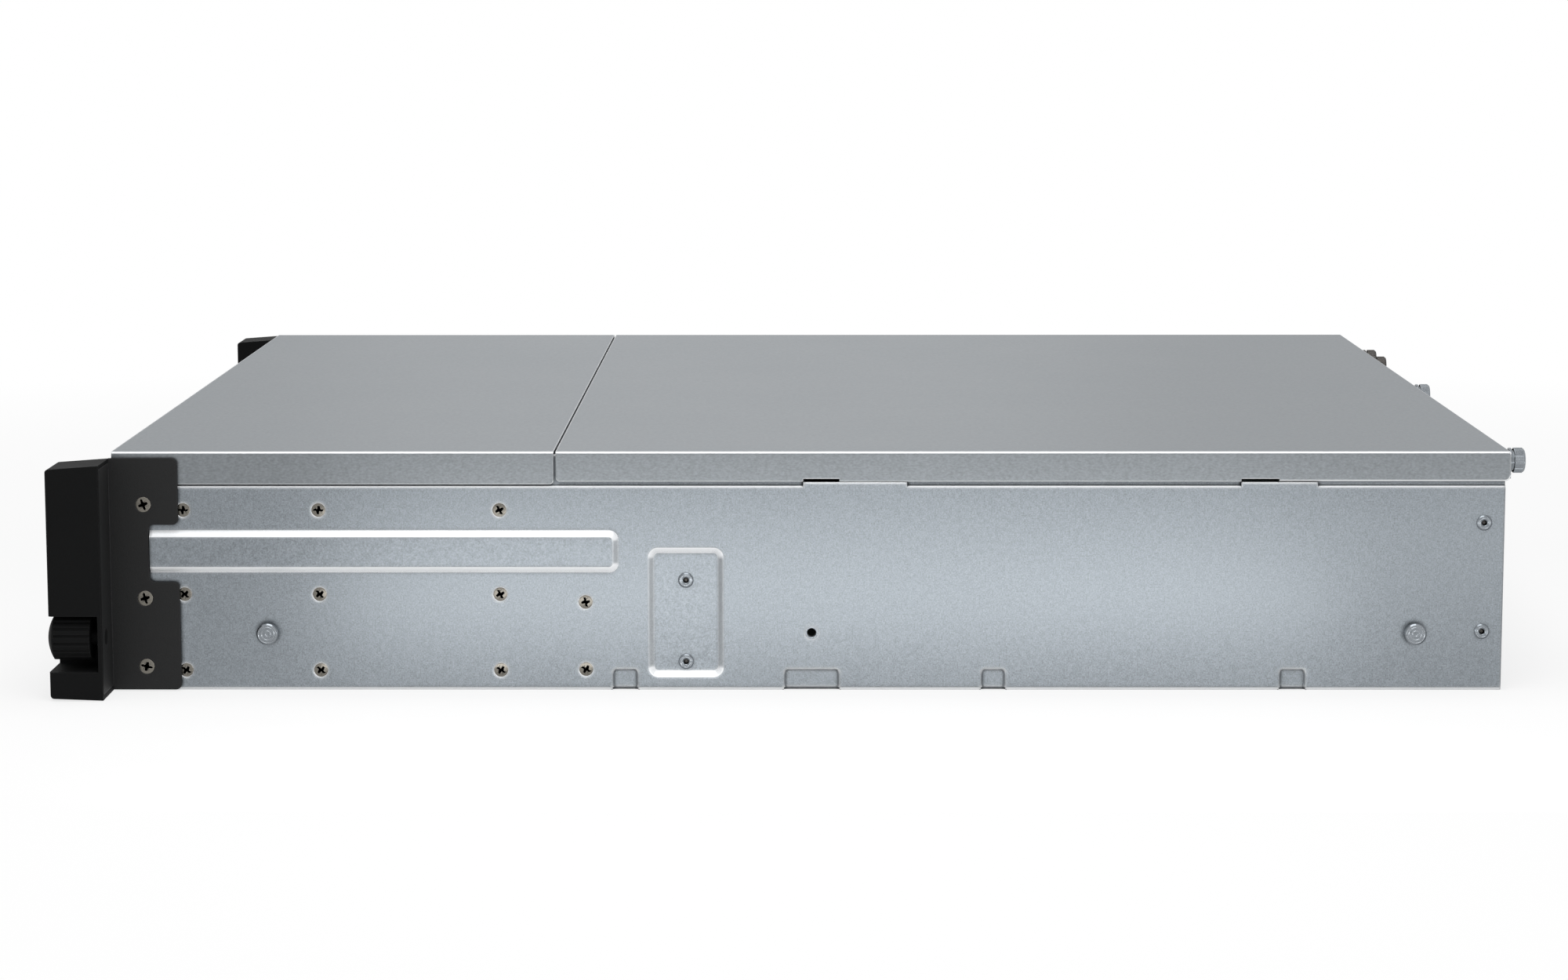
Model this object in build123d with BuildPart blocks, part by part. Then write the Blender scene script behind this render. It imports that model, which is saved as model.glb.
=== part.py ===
from build123d import *
from math import sqrt
import os

os.makedirs("parts", exist_ok=True)

# The front faces -Y, +Z is up, and z = 0 is the underside of the bottom pan.
# Rack standard sizes and the outer body.
body_width = 439.0
body_height = 88.0
wall_length = 506.0
ear_width = 21.8
rack_screw_inset = 8.75
rack_screw_z = 22.2
sheet = 1.0
cover_sheet = 1.0
cover_fit = 0.2
cover_overhang = 2.0
bend_radius = 1.6

# How far pieces stand out in front of the body and behind its walls.
ear_depth = 20.3
knob_proud = 1.4
handle_reach = 22.0

# Derived places that most pieces share.
front_y = -(wall_length + handle_reach - ear_depth - knob_proud) / 2
rear_y = front_y + wall_length
half_width = body_width / 2
wall_inside = half_width - sheet
strip_outside = half_width - cover_sheet - cover_fit
strip_inside = strip_outside - sheet
strip_top = body_height - cover_sheet - cover_fit
rack_screw_x = half_width + ear_width - rack_screw_inset
cover_underside = body_height - cover_sheet

# Covers: flanges, seam and lock tabs.
front_flange_depth = 12.0
rear_flange_depth = 11.0
shoulder_gap = 0.5
shoulder_round = 0.8
seam_y = 161.0
seam_gap = 0.8
tab_starts = (251.3, 410.3)
tab_lengths = (13.1, 13.7)
tab_lift = 1.0
tab_reach = 3.0
strip_notch_lengths = (37.7, 27.7)
cover_corner = 2.3
cover_bend_share = 0.9
seam_corner = 1.5
front_lip_depth = 1.6
seam_strap_width = 20.0
seam_strap_drop = 1.3
seam_strap_inset = 20.0

# Pressed forms in the side walls.
emboss_taper = 50.0
emboss_round = 1.1
inner_draft_share = 0.6
flat_tolerance = 0.01
rib_rise = 1.8
rib_start = 13.4
rib_end = 184.0
rib_low_z = 43.7
rib_width = 15.4
rib_corner = 3.4
recess_depth = 1.8
recess_start = 194.7
recess_width = 27.5
recess_low_z = 4.9
recess_height = 47.8
recess_corner = 3.7
dimple_depth = 1.6
dimple_lift = 1.0
dimple_run = 0.8
tub_foot = 6.0
dimple_top_z = 8.1
dimple_starts = (181.5, 244.2, 316.2, 425.1)
dimple_lengths = (9.4, 20.3, 9.0, 9.7)

# Fasteners in the side walls.
cage_screw_columns = (25.6, 74.9, 140.8)
cage_screw_rows = (7.5, 35.6, 66.6)
last_screw_y = 171.9
last_screw_rows = (7.8, 32.7)
cage_screw_head_r = 2.65
ear_screw_head_r = 2.9
screw_shank_r = 1.5
screw_hole_fit = 0.1
ear_screw_y = 11.4
ear_screw_rows = (9.1, 34.3, 68.8)
fan_rivet_rows = (10.4, 40.5)
rear_rivet_inset = 7.4
rear_rivet_rows = (21.9, 61.9)
rivet_head_r = 2.8
rivet_head_height = 0.7
rivet_hole_r = 1.05
rivet_shank_r = 1.6
rail_post_ys = (55.9, 474.1)
rail_post_z = 21.4
rail_post_r = 3.9
rail_post_end_r = 3.4
rail_post_height = 4.0
rail_post_tail_r = 2.4
rail_lock_y = 254.3
rail_lock_z = 21.3
rail_lock_r = 1.6
rail_lock_sink_r = 2.35
rail_lock_boss_r = 3.2
rail_lock_boss_height = 2.0

# Drive cage and bays.
bay_columns = 4
bay_rows = 3
cage_sheet = 1.0
cage_start = 2.0
cage_end = 178.6
cage_roof_drop = 2.6
cage_top_z = body_height - cage_roof_drop
boss_r = 3.2
ledge_width = 2.2
ledge_thickness = 1.0
divider_window_length = 44.0
divider_window_height = 13.0
divider_window_pitch = 53.0
window_corner = 4.0
cage_interior_half = strip_inside - cage_sheet
bay_width = (2 * cage_interior_half - (bay_columns - 1) * cage_sheet) / bay_columns
column_pitch = bay_width + cage_sheet
cage_floor_z = sheet + cage_sheet
bay_height = (cage_top_z - cage_sheet - cage_floor_z - (bay_rows - 1) * ledge_thickness) / bay_rows
row_pitch = bay_height + ledge_thickness

# Drive trays, levers and the drives they carry.
tray_clearance = 0.3
bezel_gap = 0.8
bezel_proud = 2.5
bezel_rim = 2.4
bezel_back = 17.0
bezel_recess = 7.0
bezel_round = 0.8
tray_rail_thickness = 1.4
tray_rail_height = 14.0
tray_end = 168.0
drive_width = 101.6
drive_length = 147.0
drive_height = 26.1
drive_start = 20.0
tray_vent_count = 9
tray_vent_width = 5.0
tray_vent_height = 14.0
lever_thickness = 4.0
lever_pivot_inset = 5.0
lever_knuckle_r = 2.4
lever_pin_r = 1.2
lever_pin_fit = 0.08
lever_end_gap = 12.0
lever_slot_count = 7
lever_slot_width = 4.2
lever_slot_share = 0.6
catch_gap = 0.6
catch_width = 8.0
catch_height = 12.0

# Backplane and its sockets.
board_thickness = 1.6
socket_width = 42.0
socket_height = 5.6
socket_fit = 0.4
backplane_height = 80.0
backplane_margin = 1.5
airflow_slot_width = 60.0
airflow_slot_height = 9.0

# Fans and their bracket.
fan_count = 3
fan_size = 80.0
fan_depth = 25.4
fan_pitch = 92.0
fan_group_x = 56.0
fan_bore_r = 38.0
fan_tip_gap = 0.9
fan_hub_r = 17.0
fan_blade_count = 7
fan_blade_thickness = 1.5
fan_blade_angle = 34.0
fan_spoke_width = 4.0
fan_frame_wall = 1.6
fan_axle_r = 2.0
fan_axle_fit = 0.08
fan_base_gap = 0.1
fan_tab_reach = 5.6
fan_spoke_depth = 3.2
rotor_front_gap = 0.6
blade_root = 1.8

# Main board and what it carries.
standoff_height = 6.0
standoff_r = 3.0
standoff_inset = 6.0
standoff_rear_inset = 12.0
main_board_gap_left = 8.7
main_board_gap_right = 6.5
main_board_start = 262.0
main_board_end_gap = 2.0
heatsink_x = 105.0
heatsink_y = 372.0
heatsink_size = 78.0
heatsink_base = 5.0
heatsink_height = 52.0
heatsink_fins = 15
fin_thickness = 1.2
package_height = 4.0
package_size = 45.0
memory_count = 4
memory_pitch = 10.0
memory_x = -5.0
memory_y = 372.0
memory_length = 133.0
memory_height = 30.0
memory_socket_height = 8.0
memory_socket_width = 6.4

# Rear panel, ports and slots.
panel_fit = 0.1
panel_flange = 15.0
panel_port_fit = 0.4
shield_margin = 4.6
shield_drop = 2.6
shield_height = 34.0
shield_lap = 2.5
shield_sheet = 0.5
slot_xs = (64.0, 84.3, 104.6)
slot_width = 13.0
slot_low_z = 16.0
slot_height = 58.0
slot_cover_width = 18.4
slot_cover_height = 72.0
vent_rows = 4
vent_pitch = 7.0
vent_r = 2.7
vent_groups = ((163.0, 11), (4.0, 13), (-138.0, 20))
vent_center_z = 58.0
jack_x = 20.0
jack_ports = 4
jack_port_width = 11.8
jack_port_height = 8.2
jack_wall = 1.4
jack_depth = 22.0
jack_port_depth = 15.0
jack_height = 13.4
usb_xs = (-20.0, -40.0)
usb_width = 14.8
usb_height = 16.4
usb_depth = 18.0
usb_port_width = 12.6
usb_port_height = 5.2

# Power modules and their bay.
psu_width = 73.5
psu_height = 39.2
psu_length = 185.0
psu_count = 2
psu_side_gap = 1.4
psu_low_z = 2.6
psu_shelf = 1.0
psu_travel_gap = 0.3
inlet_width = 24.4
inlet_height = 16.4
inlet_depth = 13.0
inlet_corner = 3.3
module_end_depth = 16.0
inlet_x = 17.0
psu_fan_r = 13.6
psu_fan_x = -17.5
psu_fan_recess = 4.0
psu_guard_wire = 1.4
psu_guard_rings = (5.2, 9.8)
handle_width = 36.0
handle_bar = 4.0
handle_height = 7.0
latch_x = 33.0
latch_thickness = 2.4
latch_height = 14.0
latch_reach = 10.0
latch_pivot_y = 2.4
latch_knuckle_r = 1.8
latch_pin_r = 0.9
latch_pin_fit = 0.08
latch_lug_height = 2.4
latch_lug_gap = 0.3
power_board_length = 30.0
power_socket_width = 46.0
power_socket_height = 9.0

# Thumbscrews of the rear cover.
thumb_drop = 4.3
thumb_z = body_height - thumb_drop
thumb_r = 4.6
thumb_proud = 5.6
thumb_side_inset = 8.5
thumb_xs = (half_width - thumb_side_inset, 0.0)
dark_thumb_r = 4.0
dark_thumb_xs = (-149.3, -119.5)
thumb_shank_r = 1.8
thumb_shank_fit = 0.4
thumb_collar = 0.9
thumb_bevel = 0.6
thumb_seat_gap = 0.3

# Ears: metal bracket, moulded cover and captive rack screw.
bracket_thickness = 1.5
bracket_length = 23.9
bracket_drop = 2.3
bracket_top_z = body_height - bracket_drop
bracket_low_z = 0.5
bracket_corner = 2.0
bracket_notch_y = 13.1
bracket_notch_low_z = 40.3
bracket_notch_high_z = 61.4
flange_back = 1.0
ear_wall = 1.6
ear_low_z = 0.3
ear_drop = 2.4
ear_top_z = body_height - ear_drop
ear_front_drop = 1.4
ear_front_round = 1.6
cavity_low_z = 10.6
cavity_high_z = 31.0
cavity_inner_wall = 2.0
rack_knob_r = 8.2
rack_knob_length = 16.0
rack_knob_dome = 2.4
rack_shank_r = 2.9
rack_shank_fit = 0.08
knob_rib_count = 18
knob_rib_depth = 0.5
power_button_r = 5.0
power_button_fit = 0.3
power_button_z = 60.0
power_button_length = 7.0
power_button_round = 0.5
power_button_travel = 1.5


def cross_plane(distance):
    # a plane across the body, facing the front, at a distance behind the front edge
    return Plane.XZ.offset(-(front_y + distance))


def outward_plane(x):
    # a plane along the side, facing +X: local x is Y and local y is Z
    return Plane.YZ.offset(x)


def inward_plane(x):
    # a plane along the side, facing -X: local x is -Y and local y is Z
    return Plane(origin=(x, 0, 0), x_dir=(0, -1, 0), z_dir=(-1, 0, 0))


def facing_plane(side, distance):
    # a plane on one side of the body, facing away from the middle
    return outward_plane(distance) if side > 0 else inward_plane(-distance)


def side_outline(start, end, low, high, corner=0.0, flip=1):
    # a rectangle between two distances from the front and two heights
    with Locations((flip * (front_y + (start + end) / 2), (low + high) / 2)):
        if corner > 0:
            RectangleRounded(end - start, high - low, corner)
        else:
            Rectangle(end - start, high - low)


def box_between(low, high, mode=Mode.ADD):
    # a block between two opposite corners
    sizes = [b - a for a, b in zip(low, high)]
    middle = tuple((a + b) / 2 for a, b in zip(low, high))
    with Locations(middle):
        Box(*sizes, mode=mode)


def save(part, name):
    part.label = name
    export_step(part, f"parts/{name}.step")


# Chassis tub: the bottom pan and both side walls, pressed from one sheet.
shoulder_z = body_height - front_flange_depth - shoulder_gap
rear_flange_z = body_height - rear_flange_depth

wall_screws = [(y, z) for y in cage_screw_columns for z in cage_screw_rows]
wall_screws += [(last_screw_y, z) for z in last_screw_rows]
ear_screws_at = [(ear_screw_y, z) for z in ear_screw_rows]
fan_rivet_y = recess_start + recess_width / 2
rear_rivet_y = wall_length - rear_rivet_inset
wall_rivets = [(rear_rivet_y, z) for z in rear_rivet_rows]
recess_rivets = [(fan_rivet_y, z) for z in fan_rivet_rows]


def raised_rib():
    # an outward rib, drafted and rounded, that starts square behind the ear bracket
    lead = rib_corner + rib_rise
    with BuildSketch(outward_plane(half_width)) as outline:
        side_outline(rib_start - lead, rib_end, rib_low_z, rib_low_z + rib_width, rib_corner)
    extrude(outline.sketch, amount=rib_rise, taper=emboss_taper)
    fillet(edges().group_by(Axis.X)[-1], emboss_round)
    with BuildSketch(outward_plane(half_width)) as outline:
        side_outline(rib_start - 2 * lead, rib_start, rib_low_z - lead, rib_low_z + rib_width + lead)
    extrude(outline.sketch, amount=2 * rib_rise, mode=Mode.SUBTRACT)
    rib_foot = edges().filter_by_position(Axis.X, half_width - flat_tolerance, half_width + flat_tolerance)
    rib_foot = rib_foot.filter_by_position(Axis.Z, rib_low_z, rib_low_z + rib_width)
    rib_foot = rib_foot.filter_by_position(Axis.Y, front_y + rib_start, front_y + rib_end)
    rib_foot = [edge for edge in rib_foot if edge.center().Y > front_y + rib_start + flat_tolerance]
    fillet(rib_foot, emboss_round)
    draft = sheet * inner_draft_share
    with BuildSketch(outward_plane(wall_inside)) as outline:
        side_outline(
            rib_start + sheet,
            rib_end - draft,
            rib_low_z + draft,
            rib_low_z + rib_width - draft,
            rib_corner - draft,
        )
    extrude(outline.sketch, amount=rib_rise, taper=emboss_taper, mode=Mode.SUBTRACT)


def pressed_recess(start, end, low, high, corner, depth):
    # an inward recess: the inner skin first, then the outer form is cut away
    draft = sheet * inner_draft_share
    floor_x = half_width - depth
    with BuildSketch(inward_plane(wall_inside)) as outline:
        side_outline(start - draft, end + draft, low - draft, high + draft, corner + draft, flip=-1)
    extrude(outline.sketch, amount=depth, taper=emboss_taper / 2)
    with BuildSketch(inward_plane(half_width)) as outline:
        side_outline(start, end, low, high, corner, flip=-1)
    extrude(outline.sketch, amount=depth, taper=emboss_taper, mode=Mode.SUBTRACT)
    floor_rim = edges().filter_by_position(Axis.X, floor_x - flat_tolerance, floor_x + flat_tolerance)
    floor_rim = floor_rim.filter_by_position(Axis.Y, front_y + start, front_y + end)
    fillet(floor_rim, emboss_round)
    mouth = edges().filter_by_position(Axis.X, half_width - flat_tolerance, half_width + flat_tolerance)
    mouth = mouth.filter_by_position(Axis.Y, front_y + start - flat_tolerance, front_y + end + flat_tolerance)
    mouth = mouth.filter_by_position(Axis.Z, low - flat_tolerance, high + flat_tolerance)
    fillet(mouth, emboss_round)


def side_holes(places, x, radius, depth):
    with BuildSketch(inward_plane(x)) as outline:
        with Locations([(-(front_y + y), z) for y, z in places]):
            Circle(radius)
    extrude(outline.sketch, amount=depth, mode=Mode.SUBTRACT)


def side_sinks(places, x, mouth_r, depth):
    # conical seats for flush screw heads
    with BuildSketch(inward_plane(x)) as outline:
        with Locations([(-(front_y + y), z) for y, z in places]):
            Circle(mouth_r)
    extrude(outline.sketch, amount=depth, taper=45, mode=Mode.SUBTRACT)


foot_x = half_width - tub_foot
with BuildPart() as tub_side:
    with BuildSketch(cross_plane(wall_length)):
        with BuildLine():
            Polyline(
                (foot_x, 0),
                (half_width, 0),
                (half_width, shoulder_z),
                (strip_outside, shoulder_z),
                (strip_outside, strip_top),
                (strip_inside, strip_top),
                (strip_inside, shoulder_z - sheet),
                (wall_inside, shoulder_z - sheet),
                (wall_inside, sheet),
                (foot_x, sheet),
                close=True,
            )
        make_face()
        fillet(vertices().sort_by_distance((half_width, 0))[0], bend_radius)
        fillet(vertices().sort_by_distance((half_width, shoulder_z))[0], shoulder_round)
        fillet(vertices().sort_by_distance((wall_inside, sheet))[0], bend_radius - sheet)
    extrude(amount=wall_length)
    raised_rib()
    pressed_recess(
        recess_start,
        recess_start + recess_width,
        recess_low_z,
        recess_low_z + recess_height,
        recess_corner,
        recess_depth,
    )
    notch_x = half_width - dimple_depth - dimple_run
    for start, length in zip(dimple_starts, dimple_lengths):
        with BuildSketch(inward_plane(wall_inside)):
            side_outline(start - sheet / 2, start + length + sheet / 2, 0, dimple_top_z + sheet / 2, flip=-1)
        extrude(amount=dimple_depth)
        box_between(
            (notch_x - sheet, front_y + start - sheet / 2, 0),
            (wall_inside, front_y + start + length + sheet / 2, sheet + dimple_lift),
        )
        with BuildSketch(inward_plane(half_width)):
            side_outline(start, start + length, -dimple_top_z, dimple_top_z, dimple_depth, flip=-1)
        extrude(amount=dimple_depth, taper=emboss_taper / 2, mode=Mode.SUBTRACT)
        box_between(
            (notch_x, front_y + start, -dimple_lift),
            (half_width, front_y + start + length, dimple_lift),
            mode=Mode.SUBTRACT,
        )
    for start, length in zip(tab_starts, strip_notch_lengths):
        with BuildSketch(inward_plane(half_width)):
            side_outline(start, start + length, shoulder_z, body_height, flip=-1)
        extrude(amount=half_width - strip_inside + sheet, mode=Mode.SUBTRACT)
        with BuildSketch(inward_plane(half_width)):
            side_outline(start, start + length, shoulder_z - sheet, rear_flange_z - cover_fit, flip=-1)
        extrude(amount=sheet)
    side_sinks(wall_screws, half_width, cage_screw_head_r + screw_hole_fit / 2, sheet)
    side_holes(wall_screws + ear_screws_at, half_width, screw_shank_r + screw_hole_fit, sheet)
    side_holes(wall_rivets, half_width, rivet_shank_r + screw_hole_fit, sheet)
    recess_face = half_width - recess_depth
    side_holes(recess_rivets, recess_face, rivet_shank_r + screw_hole_fit, sheet)
    side_holes([(y, rail_post_z) for y in rail_post_ys], half_width, rail_post_tail_r + screw_hole_fit, sheet)
    with BuildSketch(inward_plane(wall_inside)):
        with Locations((-(front_y + rail_lock_y), rail_lock_z)):
            Circle(rail_lock_boss_r)
    extrude(amount=rail_lock_boss_height)
    side_holes([(rail_lock_y, rail_lock_z)], half_width, rail_lock_r, sheet + rail_lock_boss_height)
    side_sinks([(rail_lock_y, rail_lock_z)], half_width, rail_lock_sink_r, rail_lock_sink_r - rail_lock_r)
with BuildPart() as tub_pan:
    box_between((-foot_x, front_y, 0), (foot_x, rear_y, sheet))
other_side = mirror(tub_side.part, about=Plane.YZ)
save(Compound([tub_side.part, tub_pan.part, other_side]), "chassis_tub")


# Front cover: fixed over the drive cage.
front_cover_end = seam_y - seam_gap / 2
with BuildPart() as front_cover:
    box_between(
        (-half_width, front_y, cover_underside),
        (half_width, front_y + front_cover_end, body_height),
    )
    box_between(
        (-strip_inside, front_y, cover_underside - front_lip_depth),
        (strip_inside, front_y + cover_sheet, cover_underside),
    )
    strap_half = half_width - seam_strap_inset
    box_between(
        (-strap_half, front_y + seam_y - seam_strap_width / 2, cover_underside - seam_strap_drop),
        (strap_half, front_y + front_cover_end - cover_sheet, cover_underside),
    )
    box_between(
        (-strap_half, front_y + seam_y - seam_strap_width / 2, cover_underside - seam_strap_drop),
        (
            strap_half,
            front_y + seam_y + seam_strap_width / 2,
            cover_underside - seam_strap_drop + cover_sheet,
        ),
    )
    with BuildSketch(inward_plane(half_width)):
        side_outline(0, front_cover_end, body_height - front_flange_depth, body_height, flip=-1)
        fillet(vertices().sort_by_distance((-(front_y + front_cover_end), 0))[0], seam_corner)
    extrude(amount=cover_sheet)
    with BuildSketch(inward_plane(-half_width + cover_sheet)):
        side_outline(0, front_cover_end, body_height - front_flange_depth, body_height, flip=-1)
        fillet(vertices().sort_by_distance((-(front_y + front_cover_end), 0))[0], seam_corner)
    extrude(amount=cover_sheet)
    top_edges = edges().filter_by(Axis.Y).group_by(Axis.Z)[-1]
    fillet(top_edges.sort_by(Axis.X)[0], cover_sheet * cover_bend_share)
    fillet(edges().filter_by(Axis.Y).group_by(Axis.Z)[-1].sort_by(Axis.X)[-1], cover_sheet * cover_bend_share)
save(front_cover.part, "front_cover")


# Rear cover: lifts off; lock tabs hang through the notches of the wall strips.
rear_cover_start = seam_y + seam_gap / 2
cover_end = wall_length + cover_overhang


def rear_flange(x):
    with BuildSketch(inward_plane(x)) as outline:
        side_outline(rear_cover_start, cover_end, rear_flange_z, body_height, flip=-1)
        fillet(vertices().sort_by_distance((-(front_y + rear_cover_start), 0))[0], seam_corner)
        fillet(vertices().sort_by_distance((-(front_y + cover_end), 0))[0], cover_corner)
        for start, length in zip(tab_starts, tab_lengths):
            with Locations((-(front_y + start + length / 2), rear_flange_z)):
                Rectangle(length, 2 * tab_lift, mode=Mode.SUBTRACT)
    extrude(outline.sketch, amount=cover_sheet)


with BuildPart() as rear_cover:
    box_between(
        (-half_width, front_y + rear_cover_start, cover_underside),
        (half_width, front_y + cover_end, body_height),
    )
    rear_flange(half_width)
    rear_flange(-half_width + cover_sheet)
    box_between(
        (-half_width + cover_sheet, front_y + cover_end - cover_sheet, rear_flange_z + tab_lift),
        (half_width - cover_sheet, front_y + cover_end, cover_underside),
    )
    for start, length in zip(tab_starts, tab_lengths):
        for side in (-1, 1):
            inner = side * (half_width - tab_reach)
            outer = side * half_width
            tab_end = front_y + start + length - tab_lift
            box_between(
                (min(inner, outer), front_y + start + tab_lift, rear_flange_z + tab_lift),
                (max(inner, outer), tab_end, rear_flange_z + tab_lift + cover_sheet),
            )
    screw_places = [(x, thumb_z) for x in thumb_xs + dark_thumb_xs]
    with BuildSketch(cross_plane(cover_end)):
        with Locations(screw_places):
            Circle(thumb_shank_r + thumb_shank_fit)
    extrude(amount=cover_sheet, mode=Mode.SUBTRACT)
    fillet(edges().filter_by(Axis.Y).group_by(Axis.Z)[-1].sort_by(Axis.X)[0], cover_sheet * cover_bend_share)
    fillet(edges().filter_by(Axis.Y).group_by(Axis.Z)[-1].sort_by(Axis.X)[-1], cover_sheet * cover_bend_share)
    fillet(edges().filter_by(Axis.X).group_by(Axis.Z)[-1].sort_by(Axis.Y)[-1], cover_sheet * cover_bend_share)
save(rear_cover.part, "rear_cover")


# Drive cage: floor, roof, side plates, dividers and the ledges the trays slide on.
cage_half = strip_inside
first_divider_x = column_pitch - cage_interior_half - cage_sheet / 2
divider_xs = [first_divider_x + i * column_pitch for i in range(bay_columns - 1)]
ledge_levels = [cage_floor_z + row * row_pitch - ledge_thickness for row in range(1, bay_rows)]

with BuildPart() as drive_cage:
    box_between(
        (-cage_half, front_y + cage_start, sheet),
        (cage_half, front_y + cage_end, cage_floor_z),
    )
    box_between(
        (-cage_half, front_y + cage_start, cage_top_z - cage_sheet),
        (cage_half, front_y + cage_end, cage_top_z),
    )
    for side in (-1, 1):
        plate_x = side * (cage_half - cage_sheet / 2)
        box_between(
            (plate_x - cage_sheet / 2, front_y + cage_start, sheet),
            (plate_x + cage_sheet / 2, front_y + cage_end, cage_top_z),
        )
        for z in ledge_levels:
            ledge_x = side * (cage_interior_half - ledge_width / 2)
            box_between(
                (ledge_x - ledge_width / 2, front_y + bezel_back, z),
                (ledge_x + ledge_width / 2, front_y + cage_end, z + ledge_thickness),
            )
    for x in divider_xs:
        box_between(
            (x - cage_sheet / 2, front_y + cage_start, sheet),
            (x + cage_sheet / 2, front_y + cage_end, cage_top_z),
        )
        for z in ledge_levels:
            box_between(
                (x - cage_sheet / 2 - ledge_width, front_y + bezel_back, z),
                (x + cage_sheet / 2 + ledge_width, front_y + cage_end, z + ledge_thickness),
            )
    for side in (-1, 1):
        with BuildSketch(facing_plane(side, cage_half)):
            with Locations([(side * (front_y + y), z) for y, z in wall_screws]):
                Circle(boss_r)
        extrude(amount=wall_inside - cage_half)
        with BuildSketch(facing_plane(side, cage_interior_half)):
            with Locations([(side * (front_y + y), z) for y, z in wall_screws]):
                Circle(screw_shank_r + screw_hole_fit)
        extrude(amount=wall_inside - cage_interior_half, mode=Mode.SUBTRACT)
    window_y = front_y + (bezel_back + cage_end) / 2
    with BuildSketch(Plane.YZ.offset(divider_xs[0] - cage_sheet)):
        for row in range(bay_rows):
            with Locations((window_y, cage_floor_z + row * row_pitch + bay_height / 2)):
                with GridLocations(divider_window_pitch, 1, 3, 1):
                    Rectangle(divider_window_length, divider_window_height)
        chamfer(vertices(), window_corner)
    extrude(amount=divider_xs[-1] - divider_xs[0] + 2 * cage_sheet, mode=Mode.SUBTRACT)
save(drive_cage.part, "drive_cage")


# Backplane: one board behind the cage with a socket for each drive.
bay_centers = [
    (
        -cage_interior_half + bay_width / 2 + column * column_pitch,
        cage_floor_z + row * row_pitch,
    )
    for row in range(bay_rows)
    for column in range(bay_columns)
]
drive_end = drive_start + drive_length
drive_rise = (bay_height - drive_height) / 2

with BuildPart() as backplane:
    with BuildSketch(cross_plane(cage_end + board_thickness)):
        with Locations((0, backplane_margin + sheet + backplane_height / 2)):
            Rectangle(2 * (strip_inside - backplane_margin), backplane_height)
        for x, z in bay_centers:
            with Locations((x, z + bay_height - airflow_slot_height / 2 - ledge_width)):
                Rectangle(airflow_slot_width, airflow_slot_height, mode=Mode.SUBTRACT)
    extrude(amount=board_thickness)
    for x, z in bay_centers:
        box_between(
            (x - socket_width / 2, front_y + drive_end + socket_fit, z + drive_rise),
            (x + socket_width / 2, front_y + cage_end, z + drive_rise + socket_height),
        )
save(backplane.part, "backplane")


# Fan bracket: a wall across the tub, riveted inside the two side recesses.
bracket_face = half_width - recess_depth - sheet
fan_xs = [fan_group_x + (i - (fan_count - 1) / 2) * fan_pitch for i in range(fan_count)]
fan_wall_y = fan_rivet_y - recess_width / 2 + recess_depth + sheet
fan_z = sheet + cage_sheet + fan_base_gap + fan_size / 2

with BuildPart() as fan_bracket:
    box_between(
        (-bracket_face, front_y + fan_wall_y, sheet),
        (bracket_face, front_y + fan_wall_y + sheet, strip_top - cover_fit),
    )
    box_between(
        (-bracket_face, front_y + fan_wall_y, sheet),
        (bracket_face, front_y + fan_wall_y + sheet + fan_depth, cage_floor_z),
    )
    for side in (-1, 1):
        plate_x = side * (bracket_face - sheet / 2)
        box_between(
            (plate_x - sheet / 2, front_y + fan_wall_y, sheet),
            (plate_x + sheet / 2, front_y + fan_rivet_y + fan_tab_reach, recess_low_z + recess_height),
        )
        with BuildSketch(facing_plane(side, bracket_face - sheet)):
            with Locations([(side * (front_y + y), z) for y, z in recess_rivets]):
                Circle(rivet_shank_r + screw_hole_fit)
        extrude(amount=sheet, mode=Mode.SUBTRACT)
    with BuildSketch(cross_plane(fan_wall_y + sheet)):
        with Locations([(x, fan_z) for x in fan_xs]):
            Circle(fan_bore_r)
            Circle(fan_hub_r, mode=Mode.SUBTRACT)
            for angle in (45, 135):
                Rectangle(2 * fan_bore_r, fan_spoke_width, rotation=angle, mode=Mode.SUBTRACT)
    extrude(amount=sheet, mode=Mode.SUBTRACT)
save(fan_bracket.part, "fan_bracket")


# Fan frames: square housings with a bearing spider at the back.
fan_front = fan_wall_y + sheet
fan_end = fan_front + fan_depth

with BuildPart() as fan_frames:
    with BuildSketch(cross_plane(fan_end)):
        with Locations([(x, fan_z) for x in fan_xs]):
            RectangleRounded(fan_size, fan_size, fan_frame_wall)
            Circle(fan_bore_r, mode=Mode.SUBTRACT)
    extrude(amount=fan_depth)
    with BuildSketch(cross_plane(fan_end)):
        with Locations([(x, fan_z) for x in fan_xs]):
            for angle in (45, 135):
                Rectangle(2 * (fan_bore_r + fan_frame_wall / 2), fan_spoke_width, rotation=angle)
            Circle(fan_hub_r)
            Circle(fan_axle_r + fan_axle_fit, mode=Mode.SUBTRACT)
    extrude(amount=fan_spoke_depth)
save(fan_frames.part, "fan_frames")


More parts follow.
